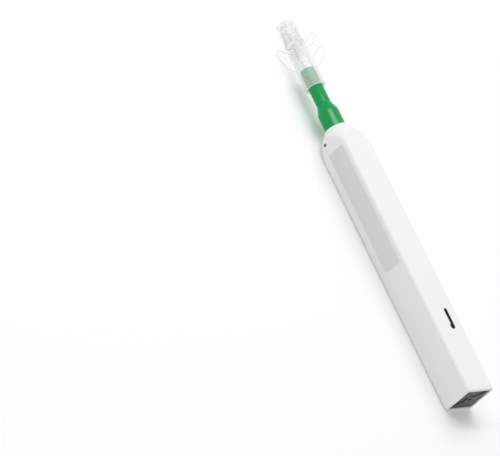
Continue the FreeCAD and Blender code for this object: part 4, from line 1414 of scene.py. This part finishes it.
@dataclass
class Caps(SubAssembly):
    """Clear guide cap with its inner ferrule tube, and the clear dust cap."""

    rear: float = 175.0
    length: float = 25.25
    radius: float = 5.0
    ring: float = 0.15
    bore: float = 3.72
    collar: float = 3.9
    collar_length: float = 6.75
    ferrule_bore: float = 1.27
    head_bore: float = 1.45
    head_end: float = 196.2
    ferrule_tube: float = 2.15
    front_wall: float = 1.25
    tube_length: float = 6.0
    dust_length: float = 11.45
    dust_radius: float = 4.9
    dust_round: float = 0.9
    dust_wall: float = 1.2
    dust_slip: float = 0.07
    dust_step: float = 0.6
    dust_step_ahead: float = 0.3
    gap: float = 0.1
    ring_land: float = 1.15
    ring_foot: float = 1.35
    # Roundings of the corners, from the softest to the sharpest.
    broad: float = 0.4
    plain: float = 0.3
    crisp: float = 0.25
    lip: float = 0.2
    fine: float = 0.1
    segments: int = 112

    def build(self) -> None:
        """Build both caps as turned pieces."""
        end = self.rear + self.length
        start = end + self.gap
        guide, dust = self._guide(), self._dust()
        self._turn_cap("cap_guide", "guide_cap_body", "guide_cap", guide, self.rear, end)
        self._turn_cap("cap_dust", "dust_cap_body", "dust_cap", dust, start)

    def _guide(self) -> list[Corner]:
        """Outline of the guide cap, with the ferrule tube inside it.

        Returns:
            The corners in order.
        """
        end = self.rear + self.length
        collar_end = end + self.collar_length
        ring = self.radius + self.ring
        wall = end - self.front_wall
        tube_rear = wall - self.tube_length
        return [
            Corner(self.rear, self.bore, self.lip),
            Corner(self.rear, ring, self.plain),
            Corner(self.rear + self.ring_land, ring, self.plain),
            Corner(self.rear + self.ring_foot, self.radius, self.plain),
            Corner(end - self.ring_foot, self.radius, self.plain),
            Corner(end - self.ring_land, ring, self.plain),
            Corner(end, ring, self.crisp),
            Corner(end, self.collar),
            Corner(collar_end, self.collar, self.plain),
            Corner(collar_end, self.ferrule_bore, self.crisp),
            Corner(self.head_end, self.ferrule_bore),
            Corner(self.head_end, self.head_bore),
            Corner(tube_rear, self.head_bore, self.fine),
            Corner(tube_rear, self.ferrule_tube, self.lip),
            Corner(wall, self.ferrule_tube, self.plain),
            Corner(wall, self.bore, self.broad),
        ]

    def _dust(self) -> list[Corner]:
        """Outline of the dust cap, closed at its front.

        Returns:
            The corners in order.
        """
        end = self.rear + self.length
        start = end + self.gap
        front = start + self.dust_length
        floor = front - self.dust_wall
        inside = self.collar + self.dust_slip
        step = end + self.collar_length + self.dust_step_ahead
        return [
            Corner(start, inside, self.fine),
            Corner(start, self.dust_radius, self.crisp),
            Corner(front, self.dust_radius, self.dust_round),
            Corner(front, 0.0),
            Corner(floor, 0.0),
            Corner(floor, inside - self.dust_step, self.broad),
            Corner(step, inside - self.dust_step, self.fine),
            Corner(step, inside),
        ]

    def _turn_cap(
        self, name: str, body: str, node: str, corners: Sequence[Corner], *rims: float
    ) -> None:
        """Turn a cap, keep it and paint a highlight on its open wall ends.

        Args:
            name: Name of the piece.
            body: Frame body that carries it.
            node: Frame node that it replaces.
            corners: Outline of the cap.
            *rims: Stations of the wall ends that get the painted highlight.
        """
        outline = rounded_outline(corners)
        cap = turned(name, self.axis, outline, segments=self.segments)
        self.keep(cap, Slot.CLEAR, body, node)
        # Painted highlight on the open wall ends.
        self.finishes.paint_rim_highlights(cap, [self.axis.point(rim).x for rim in rims])


@dataclass(frozen=True)
class Loop:
    """Route of a tether loop: distance ahead of the cap's rim and height."""

    name: str
    node: str
    side: Side
    route: tuple[Point2, ...]


@dataclass
class Tethers(SubAssembly):
    """Thin clear loops moulded on the guide cap."""

    rim: float = 175.0
    wall: float = 5.03
    radius: float = 0.27
    loops: tuple[Loop, ...] = (
        Loop(
            "loop_left", "tether_loop_left", Side.LABEL_SIDE,
            ((11.9, 0.0), (12.0, 1.5), (15.1, 2.6), (18.0, 3.8), (21.3, 4.7),
             (24.2, 4.8), (26.0, 3.3), (25.0, 1.8), (22.7, 1.2), (22.5, 0.0)),
        ),
        Loop(
            "loop_front", "tether_loop_front", Side.FAR_SIDE,
            ((23.6, 0.0), (23.7, 1.0), (26.1, 2.3), (27.3, 4.2), (26.8, 5.7),
             (25.0, 6.1), (23.1, 5.2), (21.9, 3.3), (21.2, 1.4), (21.2, 0.0)),
        ),
        Loop(
            "loop_rear", "tether_loop_rear", Side.FAR_SIDE,
            ((15.5, 0.0), (15.6, 1.2), (17.5, 3.1), (18.7, 5.0), (18.2, 6.3),
             (16.7, 6.7), (14.5, 5.8), (12.3, 4.0), (10.1, 1.6), (9.9, 0.0)),
        ),
    )

    def build(self) -> None:
        """Build the loops as smooth rods."""
        for loop in self.loops:
            points = []
            for ahead, height in loop.route:
                out = loop.side.value * (self.wall + height) / math.sqrt(2)
                points.append(self.axis.point(self.rim + ahead, out, out))
            rod = round_rod(loop.name, points, self.radius * MM, smooth=True)
            self.keep(rod, Slot.CLEAR, "guide_cap_body", loop.node)
            self.finishes.dress_rod(rod)


@dataclass(frozen=True)
class Coil:
    """Open coil between two seats: stations and radii in millimetres."""

    name: str
    start: float
    end: float
    radius: float
    wire: float
    turns: int


@dataclass
class Springs(SubAssembly):
    """Return spring behind the carriage and tip spring in the nozzle."""

    back: Coil = Coil("spring_return", 3.4, 22.0, 3.1, 0.35, 7)
    tip: Coil = Coil("spring_tip", 136.7, 146.7, 3.65, 0.25, 5)
    travel: float = 9.0
    seat_gap: float = 0.02
    turn_steps: int = 24
    wire_sides: int = 2

    def build(self) -> None:
        """Build both coil springs."""
        back = self._coil(self.back)
        self.keep(back, Slot.STEEL, "housing", "return_spring")
        seat = self.axis.point(self.back.start)
        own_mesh(back)
        tip = self._coil(self.tip)
        self.keep(tip, Slot.STEEL, "carriage", "tip_spring")

    def _coil(self, coil: Coil) -> bpy.types.Object:
        """Build one coil.

        Args:
            coil: Sizes of the coil.

        Returns:
            The coil as a mesh.
        """
        first = coil.start + coil.wire + self.seat_gap
        last = coil.end - coil.wire - self.seat_gap
        count = self.turn_steps * coil.turns
        points = []
        for step in range(count + 1):
            angle = math.tau * coil.turns * step / count
            station = first + (last - first) * step / count
            across, up = coil.radius * math.sin(angle), coil.radius * math.cos(angle)
            points.append(self.axis.point(station, across, up))
        wire = coil.wire * MM
        return round_rod(coil.name, points, wire, smooth=False, sides=self.wire_sides)


@dataclass
class Mechanism(SubAssembly):
    """The frame nodes that keep their own shapes: reels, gears, shaft, label."""

    def build(self) -> None:
        """Dress every frame node with the finish of its own slot."""
        rows = frame["record"]["subparts"]
        slots = {row["node"]: Slot(row["material_slot"]) for row in rows}
        for name, node in frame["nodes"].items():
            self.finishes.dress(node, slots[name])
            self.made.append(node)


# --------------------------------------------------------------------------
# Studio
# --------------------------------------------------------------------------


@dataclass(frozen=True)
class SoftLamp:
    """Rectangular softbox, placed by its direction from what it lights."""

    name: str
    target: tuple[float, float, float]
    direction: tuple[float, float, float]
    distance: float
    wide: float
    deep: float
    power: float
    mirrored: bool = True

    def build(self) -> None:
        """Place the lamp, facing its target; only a mirrored one shows in gloss."""
        data = bpy.data.lights.new(self.name, "AREA")
        data.shape = "RECTANGLE"
        data.size = self.deep
        data.size_y = self.wide
        data.energy = self.power
        lamp = bpy.data.objects.new(self.name, data)
        towards = Vector(self.direction).normalized()
        place = Vector(self.target) + towards * self.distance
        side = Vector((1.0, 0.0, 0.0))
        up = towards.cross(side).normalized()
        side = up.cross(towards)
        turned_round = Matrix((side, up, towards)).transposed().to_4x4()
        lamp.matrix_world = Matrix.Translation(place) @ turned_round
        lamp.visible_glossy = self.mirrored
        bpy.context.scene.collection.objects.link(lamp)


@dataclass(frozen=True)
class Studio:
    """Pale floor, soft light and the camera; lengths in metres."""

    aim: tuple[float, float, float] = (-0.02353, -0.08786, 0.009)
    distance: float = 1.97017
    azimuth: float = 27.0387
    elevation: float = 37.6242
    roll: float = 47.0615
    lens: float = 309.3
    sky: float = 0.5
    sky_slope: float = 0.34
    sky_side: tuple[float, float, float] = (-0.25, 0.72, 0.65)
    floor_colour: Colour = (0.965, 0.965, 0.965)
    floor_shade: float = 0.99
    floor_matt: float = 0.9
    floor_lift: float = 0.01
    floor_reach: float = 4.0
    floor_level: float = -0.00002
    sensor: float = 36.0
    clip: Point2 = (0.1, 20.0)
    lamps: tuple[SoftLamp, ...] = (
        SoftLamp("strip", (-0.09, 0.0, 0.009), (-0.38, -0.36, 0.85), 1.1, 1.0, 0.072, 2.8),
        SoftLamp("key", (0.0, 0.0, 0.0), (-0.5, 0.24, 0.83), 1.0, 0.55, 0.55, 2.6, False),
        SoftLamp("fill", (0.0, 0.0, 0.0), (0.3, -0.82, 0.42), 1.2, 0.8, 0.8, 1.2, False),
    )

    def build(self) -> None:
        """Build the floor, the lamps, the world and the camera."""
        self._floor()
        for lamp in self.lamps:
            lamp.build()
        self._world()
        self._camera()
        bpy.context.scene.view_settings.view_transform = "Standard"

    def _floor(self) -> None:
        """Lay a wide pale floor under the pen."""
        mesh = bpy.data.meshes.new("floor")
        corners = [
            (x * self.floor_reach, y * self.floor_reach, self.floor_level)
            for x, y in ((-1, -1), (1, -1), (1, 1), (-1, 1))
        ]
        mesh.from_pydata(corners, [], [(0, 1, 2, 3)])
        floor = bpy.data.objects.new("floor", mesh)
        bpy.context.scene.collection.objects.link(floor)
        material, bench, shader = start_material("pale_floor")
        place = bench.add("TexCoord").outputs["Object"]
        mottle = bench.add("TexNoise", {"Vector": place, "Scale": 3.0}).outputs["Fac"]
        darker = dimmed(self.floor_colour, self.floor_shade)
        bench.feed(shader.inputs["Base Color"], bench.blend(mottle, darker, self.floor_colour))
        shader.inputs["Roughness"].default_value = self.floor_matt
        shader.inputs["Specular IOR Level"].default_value = 0.0
        seen = bench.add("LightPath").outputs["Is Camera Ray"]
        lift = bench.math("MULTIPLY", seen, self.floor_lift)
        shader.inputs["Emission Color"].default_value = (1.0, 1.0, 1.0, 1.0)
        bench.feed(shader.inputs["Emission Strength"], lift)
        mesh.materials.append(material)

    def _world(self) -> None:
        """Even pale sky, seen as plain white by the camera and in reflections."""
        world = bpy.data.worlds.new("studio")
        world.use_nodes = True
        bpy.context.scene.world = world
        bench = Bench(world.node_tree)
        path = bench.add("LightPath")
        reflected = bench.math(
            "MAXIMUM", path.outputs["Is Glossy Ray"], path.outputs["Is Transmission Ray"]
        )
        seen = bench.math("MAXIMUM", path.outputs["Is Camera Ray"], reflected)
        backdrop = world.node_tree.nodes["Background"]
        bench.feed(backdrop.inputs["Color"], (1.0, 1.0, 1.0))
        towards = bench.add("TexCoord").outputs["Generated"]
        slope = bench.add(
            "VectorMath", {0: towards, 1: self.sky_side}, operation="DOT_PRODUCT"
        ).outputs["Value"]
        light = bench.math("MULTIPLY_ADD", slope, self.sky_slope, self.sky)
        plain = bench.math("MULTIPLY", bench.math("SUBTRACT", 1.0, seen), light)
        bench.feed(backdrop.inputs["Strength"], bench.math("ADD", plain, seen))

    def _camera(self) -> None:
        """Place the camera by its aim, its angles and its roll."""
        turn, rise, lean = (
            math.radians(angle) for angle in (self.azimuth, self.elevation, self.roll)
        )
        flat = math.cos(rise)
        back = Vector((math.sin(turn) * flat, -math.cos(turn) * flat, math.sin(rise)))
        level = Vector((math.cos(turn), math.sin(turn), 0.0))
        upright = back.cross(level)
        right = level * math.cos(lean) + upright * math.sin(lean)
        up = back.cross(right)
        data = bpy.data.cameras.new("camera")
        data.lens = self.lens
        data.sensor_width = self.sensor
        data.clip_start, data.clip_end = self.clip
        camera = bpy.data.objects.new("camera", data)
        place = Matrix.Translation(Vector(self.aim) + back * self.distance)
        camera.matrix_world = place @ Matrix((right, up, back)).transposed().to_4x4()
        bpy.context.scene.collection.objects.link(camera)
        bpy.context.scene.camera = camera


def main() -> None:
    """Build the studio and every sub-assembly."""
    logging.basicConfig(level=logging.INFO, format="%(name)s: %(message)s")
    Studio().build()
    axis = PenAxis.from_frame()
    finishes = Finishes()
    for kind in (Mechanism, Sleeve, Nozzle, Caps, Tethers, Springs):
        part = kind(axis, finishes)
        part.build()
        part.report()


if __name__ == "__main__":
    main()
